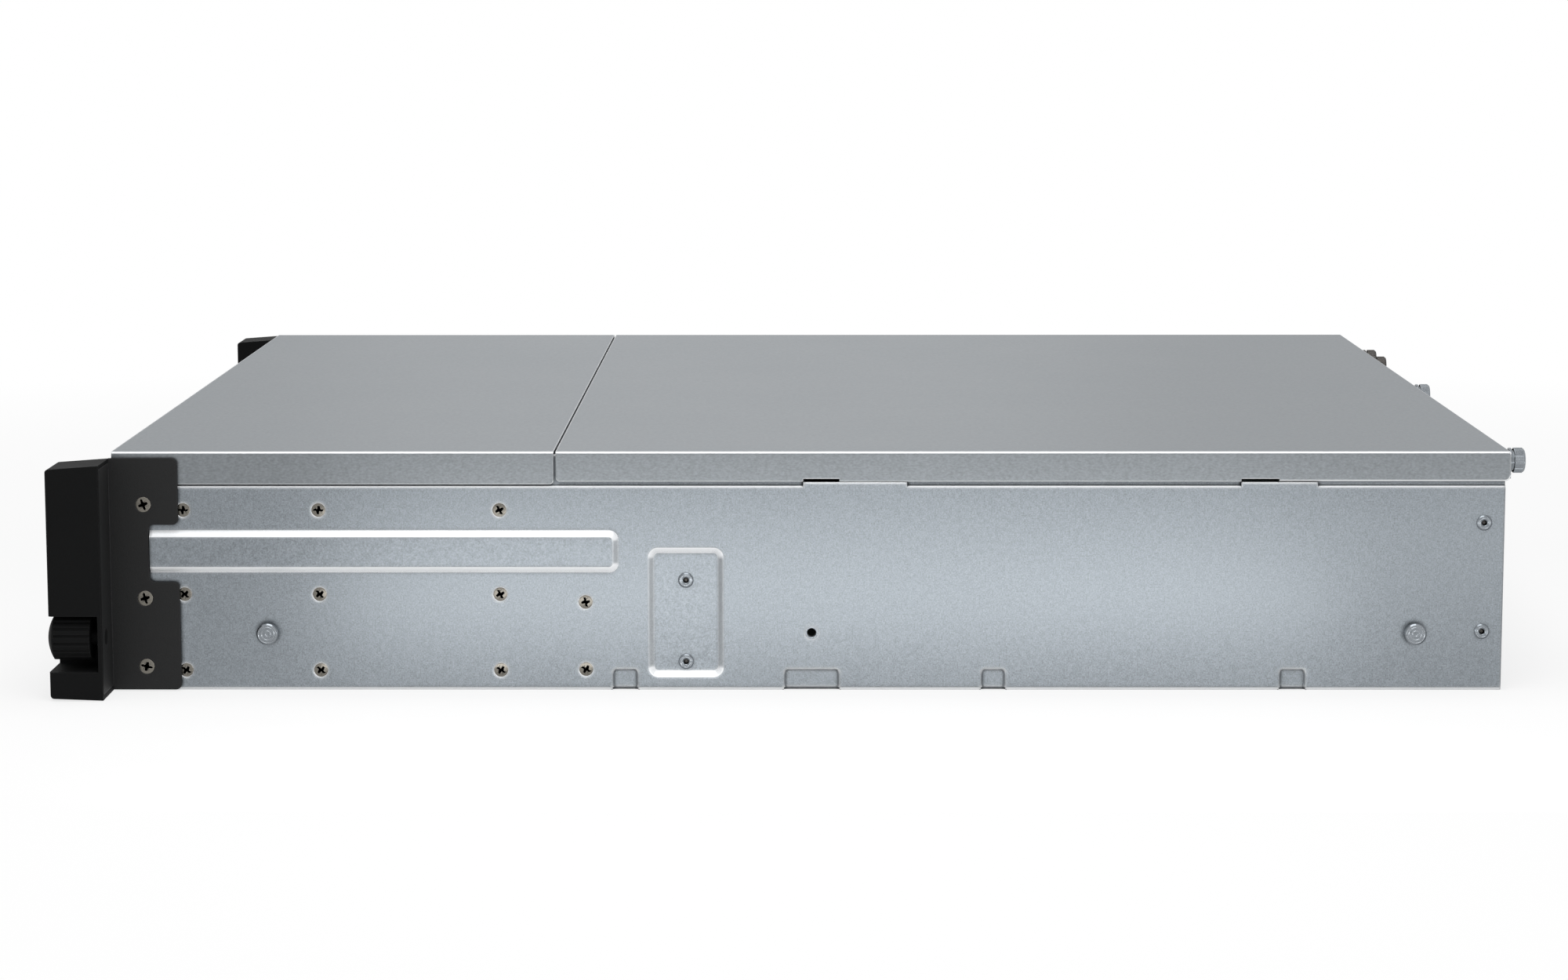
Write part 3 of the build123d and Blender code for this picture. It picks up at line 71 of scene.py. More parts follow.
def spread(tree, value, low, high, fromLow=0.0, fromHigh=1.0):
    # stretches a 0..1 pattern to a range
    made = addNode(tree, "MapRange", {"Value": value, "From Min": fromLow, "From Max": fromHigh,
                                      "To Min": low, "To Max": high})
    return made.outputs["Result"]


def noise(tree, where, scale, detail=2.0, roughness=0.5, stretch=(1, 1, 1)):
    spot = addNode(tree, "Mapping", {"Vector": where, "Scale": stretch})
    made = addNode(tree, "TexNoise", {"Vector": spot.outputs[0], "Scale": scale, "Detail": detail,
                                      "Roughness": roughness})
    return made.outputs["Fac"]


def blankFinish(name):
    material = bpy.data.materials.new(name)
    material.use_nodes = True
    tree = material.node_tree
    return material, tree, tree.nodes["Principled BSDF"]


def softEdges(tree, radius, sharp=0.75, flatFrom=0.985):
    # the rounded normal of an edge, and a mask that is 1 along it
    rounded = addNode(tree, "Bevel", {"Radius": radius}, samples=shaderSamples)
    flat = addNode(tree, "NewGeometry")
    alike = addNode(tree, "VectorMath", {0: rounded.outputs[0], 1: flat.outputs["Normal"]},
                    operation="DOT_PRODUCT").outputs["Value"]
    mask = spread(tree, alike, 1.0, 0.0, sharp, flatFrom)
    return rounded.outputs[0], mask


def tinted(tree, color, tone):
    # a colour multiplied by a tone near 1
    return addNode(tree, "VectorMath", {0: color, "Scale": tone}, operation="SCALE").outputs["Vector"]


def mixColor(tree, factor, first, second):
    made = addNode(tree, "Mix", {0: factor, 6: first, 7: second}, data_type="RGBA")
    return made.outputs[2]


def addBump(tree, shader, height, strength, depth, normal=None):
    # depth in millimetres
    inputs = {"Height": height, "Strength": strength, "Distance": depth * mm}
    if normal is not None:
        inputs["Normal"] = normal
    feed(tree, shader.inputs["Normal"], addNode(tree, "Bump", inputs).outputs[0])


# values that all galvanised sheets share: each span is the range of a mask between none and full
zincShared = {"grainDetail": 3.0, "grainSoftness": 0.62, "cloud": 14, "foldSpan": (0.40, 0.93), "sharp": 0.84,
              "flatFrom": 0.997, "bendSpan": (0.91, 0.992), "openSpan": (0.84, 0.97), "foldHighlight": 0.1,
              "uprightHighlight": 0.25, "levelSpan": (0.0, 0.10), "crystalShare": 0.4, "cloudShare": 0.6,
              "bumpDepth": 0.05}

# the middle of the case, and how far each direction counts in telling inside from outside
caseMiddle = {"shift": (0.0, 0.0, -0.044), "weights": (1.0, 0.2, 1.0)}


def creases(tree, reach, alone=False):
    # below 1 in the folds of the sheet, and beside other pieces too unless it counts alone
    made = addNode(tree, "AmbientOcclusion", {"Distance": reach}, samples=shaderSamples, only_local=alone)
    return made.outputs["AO"]


def absoluteParts(tree, direction):
    sizes = addNode(tree, "VectorMath", {0: direction}, operation="ABSOLUTE").outputs[0]
    return addNode(tree, "SeparateXYZ", {0: sizes}).outputs


def bends(tree):
    # 1 where the sheet turns away from its flat directions, 0 on the flats
    parts = absoluteParts(tree, addNode(tree, "TexCoord").outputs["Normal"])
    most = calc(tree, "MAXIMUM", calc(tree, "MAXIMUM", parts[0], parts[1]), parts[2])
    return spread(tree, most, 1.0, 0.0, *zincShared["bendSpan"])


def levelShare(tree, rounded):
    # how much painted highlight a bend gets: 1 on bends that run level, less on upright ones
    own = addNode(tree, "VectorTransform", {0: rounded}, vector_type="NORMAL", convert_from="WORLD",
                  convert_to="OBJECT").outputs[0]
    return spread(tree, absoluteParts(tree, own)[2], zincShared["uprightHighlight"], 1.0, *zincShared["levelSpan"])


def facesInward(tree):
    # 1 on surfaces that look into the case, 0 on its outside
    spot = addNode(tree, "TexCoord").outputs
    fromMiddle = addNode(tree, "Mapping", {"Vector": spot["Object"], "Location": caseMiddle["shift"],
                                           "Scale": caseMiddle["weights"]})
    along = addNode(tree, "VectorMath", {0: fromMiddle.outputs[0], 1: spot["Normal"]},
                    operation="DOT_PRODUCT").outputs["Value"]
    return calc(tree, "LESS_THAN", along, 0.0)


# galvanised sheet: fine speckle over faint crystals and slow clouds, with a painted highlight in a pale
# colour along its bends (strongest on level ones), painted shade in its folds and a painted fill on its inner
# faces
zincLooks = {
    "wall": {"color": (0.216, 0.238, 0.257), "edge": (0.94, 0.95, 0.96, 1), "rough": (0.32, 0.44),
             "crystal": 900, "grain": 1900, "crystalTone": 0.08, "grainTone": 0.60, "cloudTone": 0.06,
             "stretch": (1, 1, 1), "bump": 0.14, "grazing": (0.75, 0.75, 0.75, 1), "round": 1.7,
             "highlightStrength": 0.74, "highlightMatte": 0.75, "fold": 1.6, "shade": 0.25, "inside": 1.9, "insideMatte": 0.45,
             "shine": 1.2},
    "cover": {"color": (0.205, 0.221, 0.233), "edge": (0.92, 0.93, 0.94, 1), "rough": (0.34, 0.44),
              "crystal": 700, "grain": 1600, "crystalTone": 0.05, "grainTone": 0.34, "cloudTone": 0.06,
              "stretch": (1, 0.5, 1), "bump": 0.08, "grazing": (0.84, 0.85, 0.865, 1), "round": 0.8,
              "highlightStrength": 0.80, "highlightMatte": 0.55, "fold": 1.2, "shade": 0.45, "inside": 1.9, "insideMatte": 0.45,
              "shine": 1.2},
    "inner": {"color": (0.380, 0.395, 0.410), "edge": (0.80, 0.82, 0.83, 1), "rough": (0.32, 0.46),
              "crystal": 500, "grain": 1500, "crystalTone": 0.08, "grainTone": 0.26, "cloudTone": 0.06,
              "stretch": (1, 1, 1), "bump": 0.12, "grazing": (0.80, 0.80, 0.80, 1), "round": 0.3,
              "highlightStrength": 0.6, "highlightMatte": 0.3, "fold": 1.2, "shade": 0.45, "inside": 1.15, "insideMatte": 0.45,
              "shine": 1.0},
}


def galvanised(name, look):
    material, tree, shader = blankFinish(name)
    where = addNode(tree, "TexCoord").outputs["Object"]
    crystals = addNode(tree, "TexVoronoi", {"Vector": where, "Scale": look["crystal"]})
    crystal = addNode(tree, "SeparateColor", {"Color": crystals.outputs["Color"]}).outputs[0]
    grain = noise(tree, where, look["grain"], zincShared["grainDetail"], zincShared["grainSoftness"],
                  look["stretch"])
    cloud = noise(tree, where, zincShared["cloud"])
    tone = calc(tree, "ADD", spread(tree, crystal, -look["crystalTone"], look["crystalTone"]),
                spread(tree, grain, -look["grainTone"], look["grainTone"]))
    tone = calc(tree, "ADD", tone, spread(tree, cloud, 1 - look["cloudTone"], 1 + look["cloudTone"]))
    reach = look["fold"] * mm
    # painted shade: the colour is darkened in the folds and beside other pieces, from the occlusion
    fold = spread(tree, creases(tree, reach), look["shade"], 1.0, *zincShared["foldSpan"])
    rounded, edge = softEdges(tree, look["round"] * mm, zincShared["sharp"], zincShared["flatFrom"])
    # painted highlight: full where the sheet is open, weaker in its own folds and on upright bends
    highlightStrength = spread(tree, creases(tree, reach, True), look["highlightStrength"] * zincShared["foldHighlight"], look["highlightStrength"],
                  *zincShared["openSpan"])
    highlightStrength = calc(tree, "MULTIPLY", highlightStrength, levelShare(tree, rounded))
    paintedHighlight = calc(tree, "MULTIPLY", calc(tree, "MAXIMUM", edge, bends(tree)), highlightStrength)
    # painted fill: faces that look into the case get a paler, less metallic colour than the same sheet
    # outside, against the shade inside the case
    inward = facesInward(tree)
    tone = calc(tree, "MULTIPLY", tone, spread(tree, inward, 1.0, look["inside"]))
    # the painted highlight mixes the pale edge colour into the sheet's own colour along bends and edges
    sheet = mixColor(tree, paintedHighlight, tinted(tree, look["color"], tone), look["edge"])
    # painted shading: the painted fold shade, lifted again where the highlight is painted
    paintedShading = calc(tree, "MAXIMUM", fold, calc(tree, "MULTIPLY", paintedHighlight, look["shine"]))
    feed(tree, shader.inputs["Base Color"], tinted(tree, sheet, paintedShading))
    # less metallic where the highlight is painted and on the painted-fill inner faces, so that their pale
    # colour shows
    dull = calc(tree, "MAXIMUM", calc(tree, "MULTIPLY", paintedHighlight, look["highlightMatte"]),
                calc(tree, "MULTIPLY", inward, look["insideMatte"]))
    feed(tree, shader.inputs["Metallic"], calc(tree, "SUBTRACT", 1.0, dull))
    shader.inputs["Specular Tint"].default_value = look["grazing"]
    roughMix = calc(tree, "ADD", calc(tree, "MULTIPLY", crystal, zincShared["crystalShare"]),
                    calc(tree, "MULTIPLY", cloud, zincShared["cloudShare"]))
    feed(tree, shader.inputs["Roughness"], spread(tree, roughMix, *look["rough"]))
    addBump(tree, shader, grain, look["bump"], zincShared["bumpDepth"], rounded)
    return material


# powder coat and moulded plastic: a grainy skin, edges a little paler as a painted highlight
coatShared = {"grainDetail": 2.0, "grainSoftness": 0.55, "cloud": 40, "cloudDetail": 3.0,
              "grainTone": (0.80, 1.05), "cloudTone": (-0.10, 0.22), "round": 0.4, "highlightStrength": 0.6}
coatLooks = {
    "blackCoat": {"color": (0.0085, 0.0088, 0.0090), "edge": (0.034, 0.035, 0.036, 1), "rough": (0.50, 0.68),
                  "grain": 2600, "bump": 0.55, "depth": 0.10, "metallic": 0.0, "specular": 0.25},
    "blackPlastic": {"color": (0.0065, 0.0067, 0.0068), "edge": (0.026, 0.027, 0.027, 1),
                     "rough": (0.55, 0.70), "grain": 3400, "bump": 0.40, "depth": 0.06, "metallic": 0.0,
                     "specular": 0.05},
    "trayPlastic": {"color": (0.040, 0.041, 0.043), "edge": (0.085, 0.087, 0.09, 1), "rough": (0.40, 0.55),
                    "grain": 3000, "bump": 0.35, "depth": 0.06, "metallic": 0.0, "specular": 0.5},
    "fanPlastic": {"color": (0.022, 0.022, 0.023), "edge": (0.05, 0.05, 0.052, 1), "rough": (0.28, 0.42),
                   "grain": 2400, "bump": 0.20, "depth": 0.05, "metallic": 0.0, "specular": 0.5},
    "latchPlastic": {"color": (0.030, 0.150, 0.170), "edge": (0.06, 0.22, 0.24, 1), "rough": (0.34, 0.50),
                     "grain": 2600, "bump": 0.25, "depth": 0.05, "metallic": 0.0, "specular": 0.5},
    "chipPlastic": {"color": (0.018, 0.018, 0.019), "edge": (0.04, 0.04, 0.042, 1), "rough": (0.42, 0.56),
                    "grain": 3000, "bump": 0.20, "depth": 0.03, "metallic": 0.0, "specular": 0.4},
    "lensPlastic": {"color": (0.300, 0.360, 0.330), "edge": (0.50, 0.56, 0.52, 1), "rough": (0.12, 0.20),
                    "grain": 1200, "bump": 0.05, "depth": 0.02, "metallic": 0.0, "specular": 0.5},
    "darkOxide": {"color": (0.050, 0.047, 0.044), "edge": (0.22, 0.21, 0.20, 1), "rough": (0.30, 0.48),
                  "grain": 2200, "bump": 0.20, "depth": 0.04, "metallic": 0.85, "specular": 0.5},
}


def coated(name, look):
    material, tree, shader = blankFinish(name)
    where = addNode(tree, "TexCoord").outputs["Object"]
    grain = noise(tree, where, look["grain"], coatShared["grainDetail"], coatShared["grainSoftness"])
    cloud = noise(tree, where, coatShared["cloud"], coatShared["cloudDetail"])
    tone = calc(tree, "ADD", spread(tree, grain, *coatShared["grainTone"]),
                spread(tree, cloud, *coatShared["cloudTone"]))
    rounded, edge = softEdges(tree, coatShared["round"] * mm)
    # painted highlight: edges mixed toward the pale edge colour
    paintedHighlight = calc(tree, "MULTIPLY", edge, coatShared["highlightStrength"])
    color = mixColor(tree, paintedHighlight, tinted(tree, look["color"], tone), look["edge"])
    feed(tree, shader.inputs["Base Color"], color)
    shader.inputs["Metallic"].default_value = look["metallic"]
    shader.inputs["Specular IOR Level"].default_value = look["specular"]
    feed(tree, shader.inputs["Roughness"], spread(tree, cloud, *look["rough"]))
    addBump(tree, shader, grain, look["bump"], look["depth"], rounded)
    return material


# turned, plated and extruded metal: fine tool lines, a clean gloss and edges painted paler as a highlight
metalShared = {"stretch": (1, 0.08, 1), "cloud": 90, "lineTone": (0.86, 1.08), "cloudTone": (-0.06, 0.08),
               "round": 0.25, "bump": 0.12, "bumpDepth": 0.03}
metalLooks = {
    "nickel": {"color": (0.17, 0.16, 0.14), "edge": (0.66, 0.63, 0.57, 1), "rough": (0.20, 0.34),
               "line": 3000, "highlightStrength": 0.5},
    "rivetSteel": {"color": (0.20, 0.22, 0.24), "edge": (0.86, 0.90, 0.94, 1), "rough": (0.20, 0.32),
                   "line": 2600, "highlightStrength": 0.70},
    "brightSteel": {"color": (0.23, 0.25, 0.27), "edge": (0.84, 0.87, 0.89, 1), "rough": (0.14, 0.26),
                    "line": 2600, "highlightStrength": 0.35},
    "finMetal": {"color": (0.62, 0.63, 0.64), "edge": (0.85, 0.86, 0.87, 1), "rough": (0.28, 0.42),
                 "line": 1800, "highlightStrength": 0.6},
    "portShell": {"color": (0.50, 0.50, 0.49), "edge": (0.80, 0.80, 0.79, 1), "rough": (0.22, 0.36),
                  "line": 1500, "highlightStrength": 0.6},
    "moduleCase": {"color": (0.40, 0.41, 0.42), "edge": (0.75, 0.76, 0.77, 1), "rough": (0.30, 0.42),
                   "line": 1200, "highlightStrength": 0.6},
    "gold": {"color": (0.70, 0.48, 0.19), "edge": (0.90, 0.72, 0.40, 1), "rough": (0.18, 0.30),
             "line": 1800, "highlightStrength": 0.6},
}


def metal(name, look):
    material, tree, shader = blankFinish(name)
    where = addNode(tree, "TexCoord").outputs["Object"]
    lines = noise(tree, where, look["line"], stretch=metalShared["stretch"])
    cloud = noise(tree, where, metalShared["cloud"])
    tone = calc(tree, "ADD", spread(tree, lines, *metalShared["lineTone"]),
                spread(tree, cloud, *metalShared["cloudTone"]))
    rounded, edge = softEdges(tree, metalShared["round"] * mm)
    # painted highlight: edges mixed toward the pale edge colour
    paintedHighlight = calc(tree, "MULTIPLY", edge, look["highlightStrength"])
    color = mixColor(tree, paintedHighlight, tinted(tree, look["color"], tone), look["edge"])
    feed(tree, shader.inputs["Base Color"], color)
    shader.inputs["Metallic"].default_value = 1.0
    feed(tree, shader.inputs["Roughness"], spread(tree, lines, *look["rough"]))
    addBump(tree, shader, lines, metalShared["bump"], metalShared["bumpDepth"], rounded)
    return material


# circuit boards: solder mask over the faint relief of traces
boardShared = {"runSpan": (0.30, 0.36), "speck": 900, "speckTone": (0.75, 1.25), "traceShare": 0.7,
               "rough": (0.28, 0.45), "bump": 0.3, "bumpDepth": 0.03}
boardLooks = {
    "mainBoard": {"mask": (0.010, 0.055, 0.030), "trace": (0.020, 0.110, 0.055, 1), "pitch": 170},
    "memoryBoard": {"mask": (0.008, 0.045, 0.034), "trace": (0.014, 0.080, 0.052, 1), "pitch": 260},
}


def solderMask(name, look):
    material, tree, shader = blankFinish(name)
    where = addNode(tree, "TexCoord").outputs["Object"]
    cells = addNode(tree, "TexVoronoi", {"Vector": where, "Scale": look["pitch"]}, distance="CHEBYCHEV")
    runs = spread(tree, cells.outputs["Distance"], 0.0, 1.0, *boardShared["runSpan"])
    speck = noise(tree, where, boardShared["speck"])
    base = tinted(tree, look["mask"], spread(tree, speck, *boardShared["speckTone"]))
    seen = calc(tree, "MULTIPLY", runs, boardShared["traceShare"])
    feed(tree, shader.inputs["Base Color"], mixColor(tree, seen, base, look["trace"]))
    feed(tree, shader.inputs["Roughness"], spread(tree, speck, *boardShared["rough"]))
    addBump(tree, shader, runs, boardShared["bump"], boardShared["bumpDepth"])
    return material


# one finish for each slot of the frame, and four for new pieces only
finishes = {
    "zinc_wall": galvanised("zincWall", zincLooks["wall"]),
    "zinc_cover": galvanised("zincCover", zincLooks["cover"]),
    "zinc_inner": galvanised("zincInner", zincLooks["inner"]),
    "black_coat": coated("blackCoat", coatLooks["blackCoat"]),
    "black_plastic": coated("blackPlastic", coatLooks["blackPlastic"]),
    "tray_body": coated("trayPlastic", coatLooks["trayPlastic"]),
    "fan_plastic": coated("fanPlastic", coatLooks["fanPlastic"]),
    "latch_plastic": coated("latchPlastic", coatLooks["latchPlastic"]),
    "dark_knob": coated("darkOxide", coatLooks["darkOxide"]),
    "nickel": metal("nickelPlate", metalLooks["nickel"]),
    "bright_steel": metal("brightSteel", metalLooks["brightSteel"]),
    "fin_metal": metal("finMetal", metalLooks["finMetal"]),
    "port_shell": metal("portShell", metalLooks["portShell"]),
    "module_case": metal("moduleCase", metalLooks["moduleCase"]),
    "board": solderMask("mainBoardMask", boardLooks["mainBoard"]),
    "memory_board": solderMask("memoryBoardMask", boardLooks["memoryBoard"]),
}
extras = {
    "goldPlate": metal("goldPlate", metalLooks["gold"]),
    "rivetSteel": metal("rivetSteel", metalLooks["rivetSteel"]),
    "chipPlastic": coated("chipPlastic", coatLooks["chipPlastic"]),
    "lensPlastic": coated("lensPlastic", coatLooks["lensPlastic"]),
}

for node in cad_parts.values():
    for holder in node.material_slots:
        holder.material = finishes[holder.material.name.split(".")[0]]
print("finishes made:", len(finishes) + len(extras))


# new pieces, with their sizes in millimetres

def newPiece(name, bm, body, finish, smoothAngle=35):
    # one object at the origin, riding on a body
    bmesh.ops.remove_doubles(bm, verts=bm.verts, dist=weldReach)
    bmesh.ops.recalc_face_normals(bm, faces=bm.faces)
    mesh = bpy.data.meshes.new(name)
    bm.to_mesh(mesh)
    bm.free()
    mesh.shade_smooth()
    mesh.set_sharp_from_angle(angle=math.radians(smoothAngle))
    mesh.materials.append(finish)
    piece = bpy.data.objects.new(name, mesh)
    bpy.context.scene.collection.objects.link(piece)
    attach(piece, body)
    return piece


def spinProfile(bm, points, steps):
    # a turned shape about local Z from (radius, height) points
    verts = [bm.verts.new((radius, 0, height)) for radius, height in points]
    edges = [bm.edges.new(pair) for pair in zip(verts, verts[1:])]
    bmesh.ops.spin(bm, geom=verts + edges, cent=(0, 0, 0), axis=(0, 0, 1), angle=math.tau, steps=steps,
                   use_merge=True)
    bmesh.ops.remove_doubles(bm, verts=bm.verts, dist=weldReach)


def stampCopies(pattern, places):
    # one mesh with a copy of the pattern at each placing matrix
    stamp = bpy.data.meshes.new("stamp")
    pattern.to_mesh(stamp)
    pattern.free()
    joined = bmesh.new()
    for place in places:
        before = len(joined.verts)
        joined.from_mesh(stamp)
        joined.verts.ensure_lookup_table()
        bmesh.ops.transform(joined, matrix=place, verts=joined.verts[before:])
    bpy.data.meshes.remove(stamp)
    return joined


def at(x, y, z):
    return Matrix.Translation((x * mm, y * mm, z * mm))


def facingSide(side, x, y, z, turn=0.0):
    # local Z points out of a side wall
    outward = Matrix.Rotation(math.radians(90) * side, 4, "Y")
    return at(x * side, y, z) @ outward @ Matrix.Rotation(turn, 4, "Z")


def facingRear(x, y, z):
    # local Z points to the rear
    return at(x, y, z) @ Matrix.Rotation(math.radians(-90), 4, "X")


def facingFront(x, y, z):
    # local Z points to the front
    return at(x, y, z) @ Matrix.Rotation(math.radians(90), 4, "X")


def block(size, bevel=0.0):
    # a box about its middle with bevelled edges
    bm = bmesh.new()
    bmesh.ops.create_cube(bm, size=mm)
    bmesh.ops.scale(bm, vec=size, verts=bm.verts)
    if bevel:
        bmesh.ops.bevel(bm, geom=bm.edges, offset=bevel * mm, affect="EDGES", segments=1, profile=0.5,
                        material=-1)
    return bm


def turned(points, steps):
    # a closed turned shape about local Z from (radius, height) points in millimetres
    bm = bmesh.new()
    spinProfile(bm, [(radius * mm, height * mm) for radius, height in points], steps)
    return bm


def joinInto(target, source):
    # adds one shape to another
    made = bpy.data.meshes.new("joined")
    source.to_mesh(made)
    source.free()
    target.from_mesh(made)
    bpy.data.meshes.remove(made)
    return target


# the outer face of the side walls and the front plane that distances along them start from
wall = {"faceX": 219.5, "frontY": -253.15}

# cross-head screws in the side walls and ear brackets, flush in their seats
crossHead = {"reach": 0.60, "width": 0.15, "floor": 0.45, "depth": 0.9, "rim": 0.80, "lift": 0.10,
             "edge": 0.97, "shankRadius": 1.45, "shankLength": 3.2, "segments": 24}
cageScrew = {"radius": 2.62, "faceX": 219.42, "columns": (25.6, 74.9, 140.8), "rows": (7.5, 35.6, 66.6),
             "lastColumn": 171.9, "lastRows": (7.8, 32.7)}
earScrew = {"radius": 2.86, "faceX": 220.95, "columns": (11.4,), "rows": (9.1, 34.3, 68.8)}


def ringOn(bm, edges, ratio, drop):
    # grows a loop of edges outward or inward and lowers it
    grown = bmesh.ops.extrude_edge_only(bm, edges=edges)["geom"]
    verts = [item for item in grown if isinstance(item, bmesh.types.BMVert)]
    bmesh.ops.scale(bm, vec=(ratio, ratio, 1), verts=verts)
    bmesh.ops.translate(bm, vec=(0, 0, -drop), verts=verts)
    return [item for item in grown
            if isinstance(item, bmesh.types.BMEdge) and set(item.verts) <= set(verts)]


def crossHeadScrew(radius):
    # built in millimetres round the cross, then scaled to metres
    bm = bmesh.new()
    reach, half = radius * crossHead["reach"], radius * crossHead["width"]
    arm = (Vector((reach, -half, 0)), Vector((reach, half, 0)), Vector((half, half, 0)))
    cross = [bm.verts.new(Matrix.Rotation(quarter * math.pi / 2, 3, "Z") @ point)
             for quarter in range(4) for point in arm]
    slotFace = bm.faces.new(cross)
    slotEdges = slotFace.edges[:]
    disc = bmesh.ops.create_circle(bm, segments=crossHead["segments"], radius=radius * crossHead["rim"])
    discEdges = list({edge for vert in disc["verts"] for edge in vert.link_edges})
    bmesh.ops.bridge_loops(bm, edges=slotEdges + discEdges)
    rim = ringOn(bm, discEdges, crossHead["edge"] / crossHead["rim"], crossHead["lift"])
    side = ringOn(bm, rim, 1 / crossHead["edge"], crossHead["lift"])
    seat = ringOn(bm, side, crossHead["shankRadius"] / radius, radius - crossHead["shankRadius"])
    end = ringOn(bm, seat, 1.0, crossHead["shankLength"])
    bmesh.ops.contextual_create(bm, geom=end)
    sunk = bmesh.ops.extrude_discrete_faces(bm, faces=[slotFace])["faces"][0]
    bmesh.ops.scale(bm, vec=(crossHead["floor"], crossHead["floor"], 1), verts=sunk.verts)
    bmesh.ops.translate(bm, vec=(0, 0, -crossHead["depth"]), verts=sunk.verts)
    bmesh.ops.scale(bm, vec=(mm, mm, mm), verts=bm.verts)
    return bm


def screwPlaces(look, columns, rows):
    # every screw stopped at its own angle
    turns = random.Random(len(columns) * 10 + len(rows))
    return [facingSide(side, look["faceX"], wall["frontY"] + distance, height,
                       turns.uniform(0, math.pi / 2))
            for side in (-1, 1) for distance in columns for height in rows]


cagePlaces = screwPlaces(cageScrew, cageScrew["columns"], cageScrew["rows"])
cagePlaces += screwPlaces(cageScrew, (cageScrew["lastColumn"],), cageScrew["lastRows"])
earPlaces = screwPlaces(earScrew, earScrew["columns"], earScrew["rows"])
for name, look, places, node in (("crossHeadCageScrews", cageScrew, cagePlaces, "cage_screws"),
                                 ("crossHeadEarScrews", earScrew, earPlaces, "ear_screws")):
    heads = newPiece(name, stampCopies(crossHeadScrew(look["radius"]), places), "chassis",
                     finishes["nickel"])
    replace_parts(heads, node)
print("screws made:", len(cagePlaces) + len(earPlaces))

# blind rivets: a rolled head with a broken mandrel deep in the hole
rivet = {"profile": ((1.0, -1.6), (1.0, 0.35), (1.3, 0.62), (1.6, 0.66), (1.75, 0.50), (1.95, 0.50),
                     (2.1, 0.64), (2.4, 0.56), (2.8, 0.10), (2.8, 0.0), (1.6, -0.05), (1.6, -1.6),
                     (1.0, -1.6)),
         "mandrel": ((0.0, -0.7), (0.6, -0.75), (0.95, -1.1), (0.95, -1.6), (0.0, -1.6)), "steps": 32,
         "places": ((219.5, 498.6, 21.9), (219.5, 498.6, 61.9), (217.7, 208.45, 10.4),
                    (217.7, 208.45, 40.5))}
rivetPlaces = [facingSide(side, x, wall["frontY"] + distance, z) for side in (-1, 1)
               for x, distance, z in rivet["places"]]
rivetHeads = newPiece("rolledRivets", stampCopies(turned(rivet["profile"], rivet["steps"]), rivetPlaces),
                      "chassis", extras["rivetSteel"])
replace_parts(rivetHeads, "rivets")
newPiece("rivetMandrels", stampCopies(turned(rivet["mandrel"], rivet["steps"]), rivetPlaces), "chassis",
         finishes["dark_knob"])

# rail posts: shouldered studs with lathe rings on their ends; a pressed nut's ring round the lock hole
post = {"profile": ((0.0, 3.82), (0.5, 3.82), (0.7, 4.0), (1.25, 4.0), (1.4, 3.86), (1.9, 3.86),
                    (2.05, 4.0), (2.55, 4.0), (2.7, 3.88), (3.1, 3.88), (3.2, 4.0), (3.42, 4.0),
                    (3.9, 3.5), (3.9, 0.0), (2.4, -0.02), (2.4, -1.0), (0.0, -1.0)),
        "steps": 40, "distances": (55.9, 474.1), "height": 21.4}
lockRing = {"profile": ((1.62, -0.9), (1.62, -0.15), (1.8, 0.05), (2.25, 0.05), (2.36, -0.1),
                        (2.36, -0.9), (1.62, -0.9)),
            "steps": 32, "distance": 254.3, "height": 21.3}
postPlaces = [facingSide(side, wall["faceX"], wall["frontY"] + distance, post["height"])
              for side in (-1, 1) for distance in post["distances"]]
posts = newPiece("turnedRailPosts", stampCopies(turned(post["profile"], post["steps"]), postPlaces),
                 "chassis", finishes["bright_steel"])
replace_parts(posts, "rail_posts")
ringPlaces = [facingSide(side, wall["faceX"], wall["frontY"] + lockRing["distance"], lockRing["height"])
              for side in (-1, 1)]
newPiece("lockNutRings", stampCopies(turned(lockRing["profile"], lockRing["steps"]), ringPlaces),
         "chassis", extras["rivetSteel"])
print("rivets, posts and rings made:", len(rivetPlaces) + len(postPlaces) + len(ringPlaces))

# knurled thumbscrews of the rear cover: turned core with a dished end, straight knurl, collar and shank
knobs = {"cover_thumbscrew_side": (211.0, 4.6, "bright_steel"),
         "cover_thumbscrew_middle": (0.0, 4.6, "bright_steel"),
         "dark_thumbscrew_1": (-149.3, 4.0, "dark_knob"), "dark_thumbscrew_2": (-119.5, 4.0, "dark_knob")}
knurl = {"seatY": 255.15, "z": 83.7, "teeth": 38, "tooth": 0.24, "low": 1.7, "high": 4.9, "top": 5.6,
         "collar": 0.9, "collarBevel": 0.15, "neck": 0.7, "shank": 1.8, "shankEnd": -2.3, "dish": 0.7,
         "dishFloor": 0.45, "dishRim": 0.62, "bevel": 0.35, "sink": 0.05, "steps": 48}


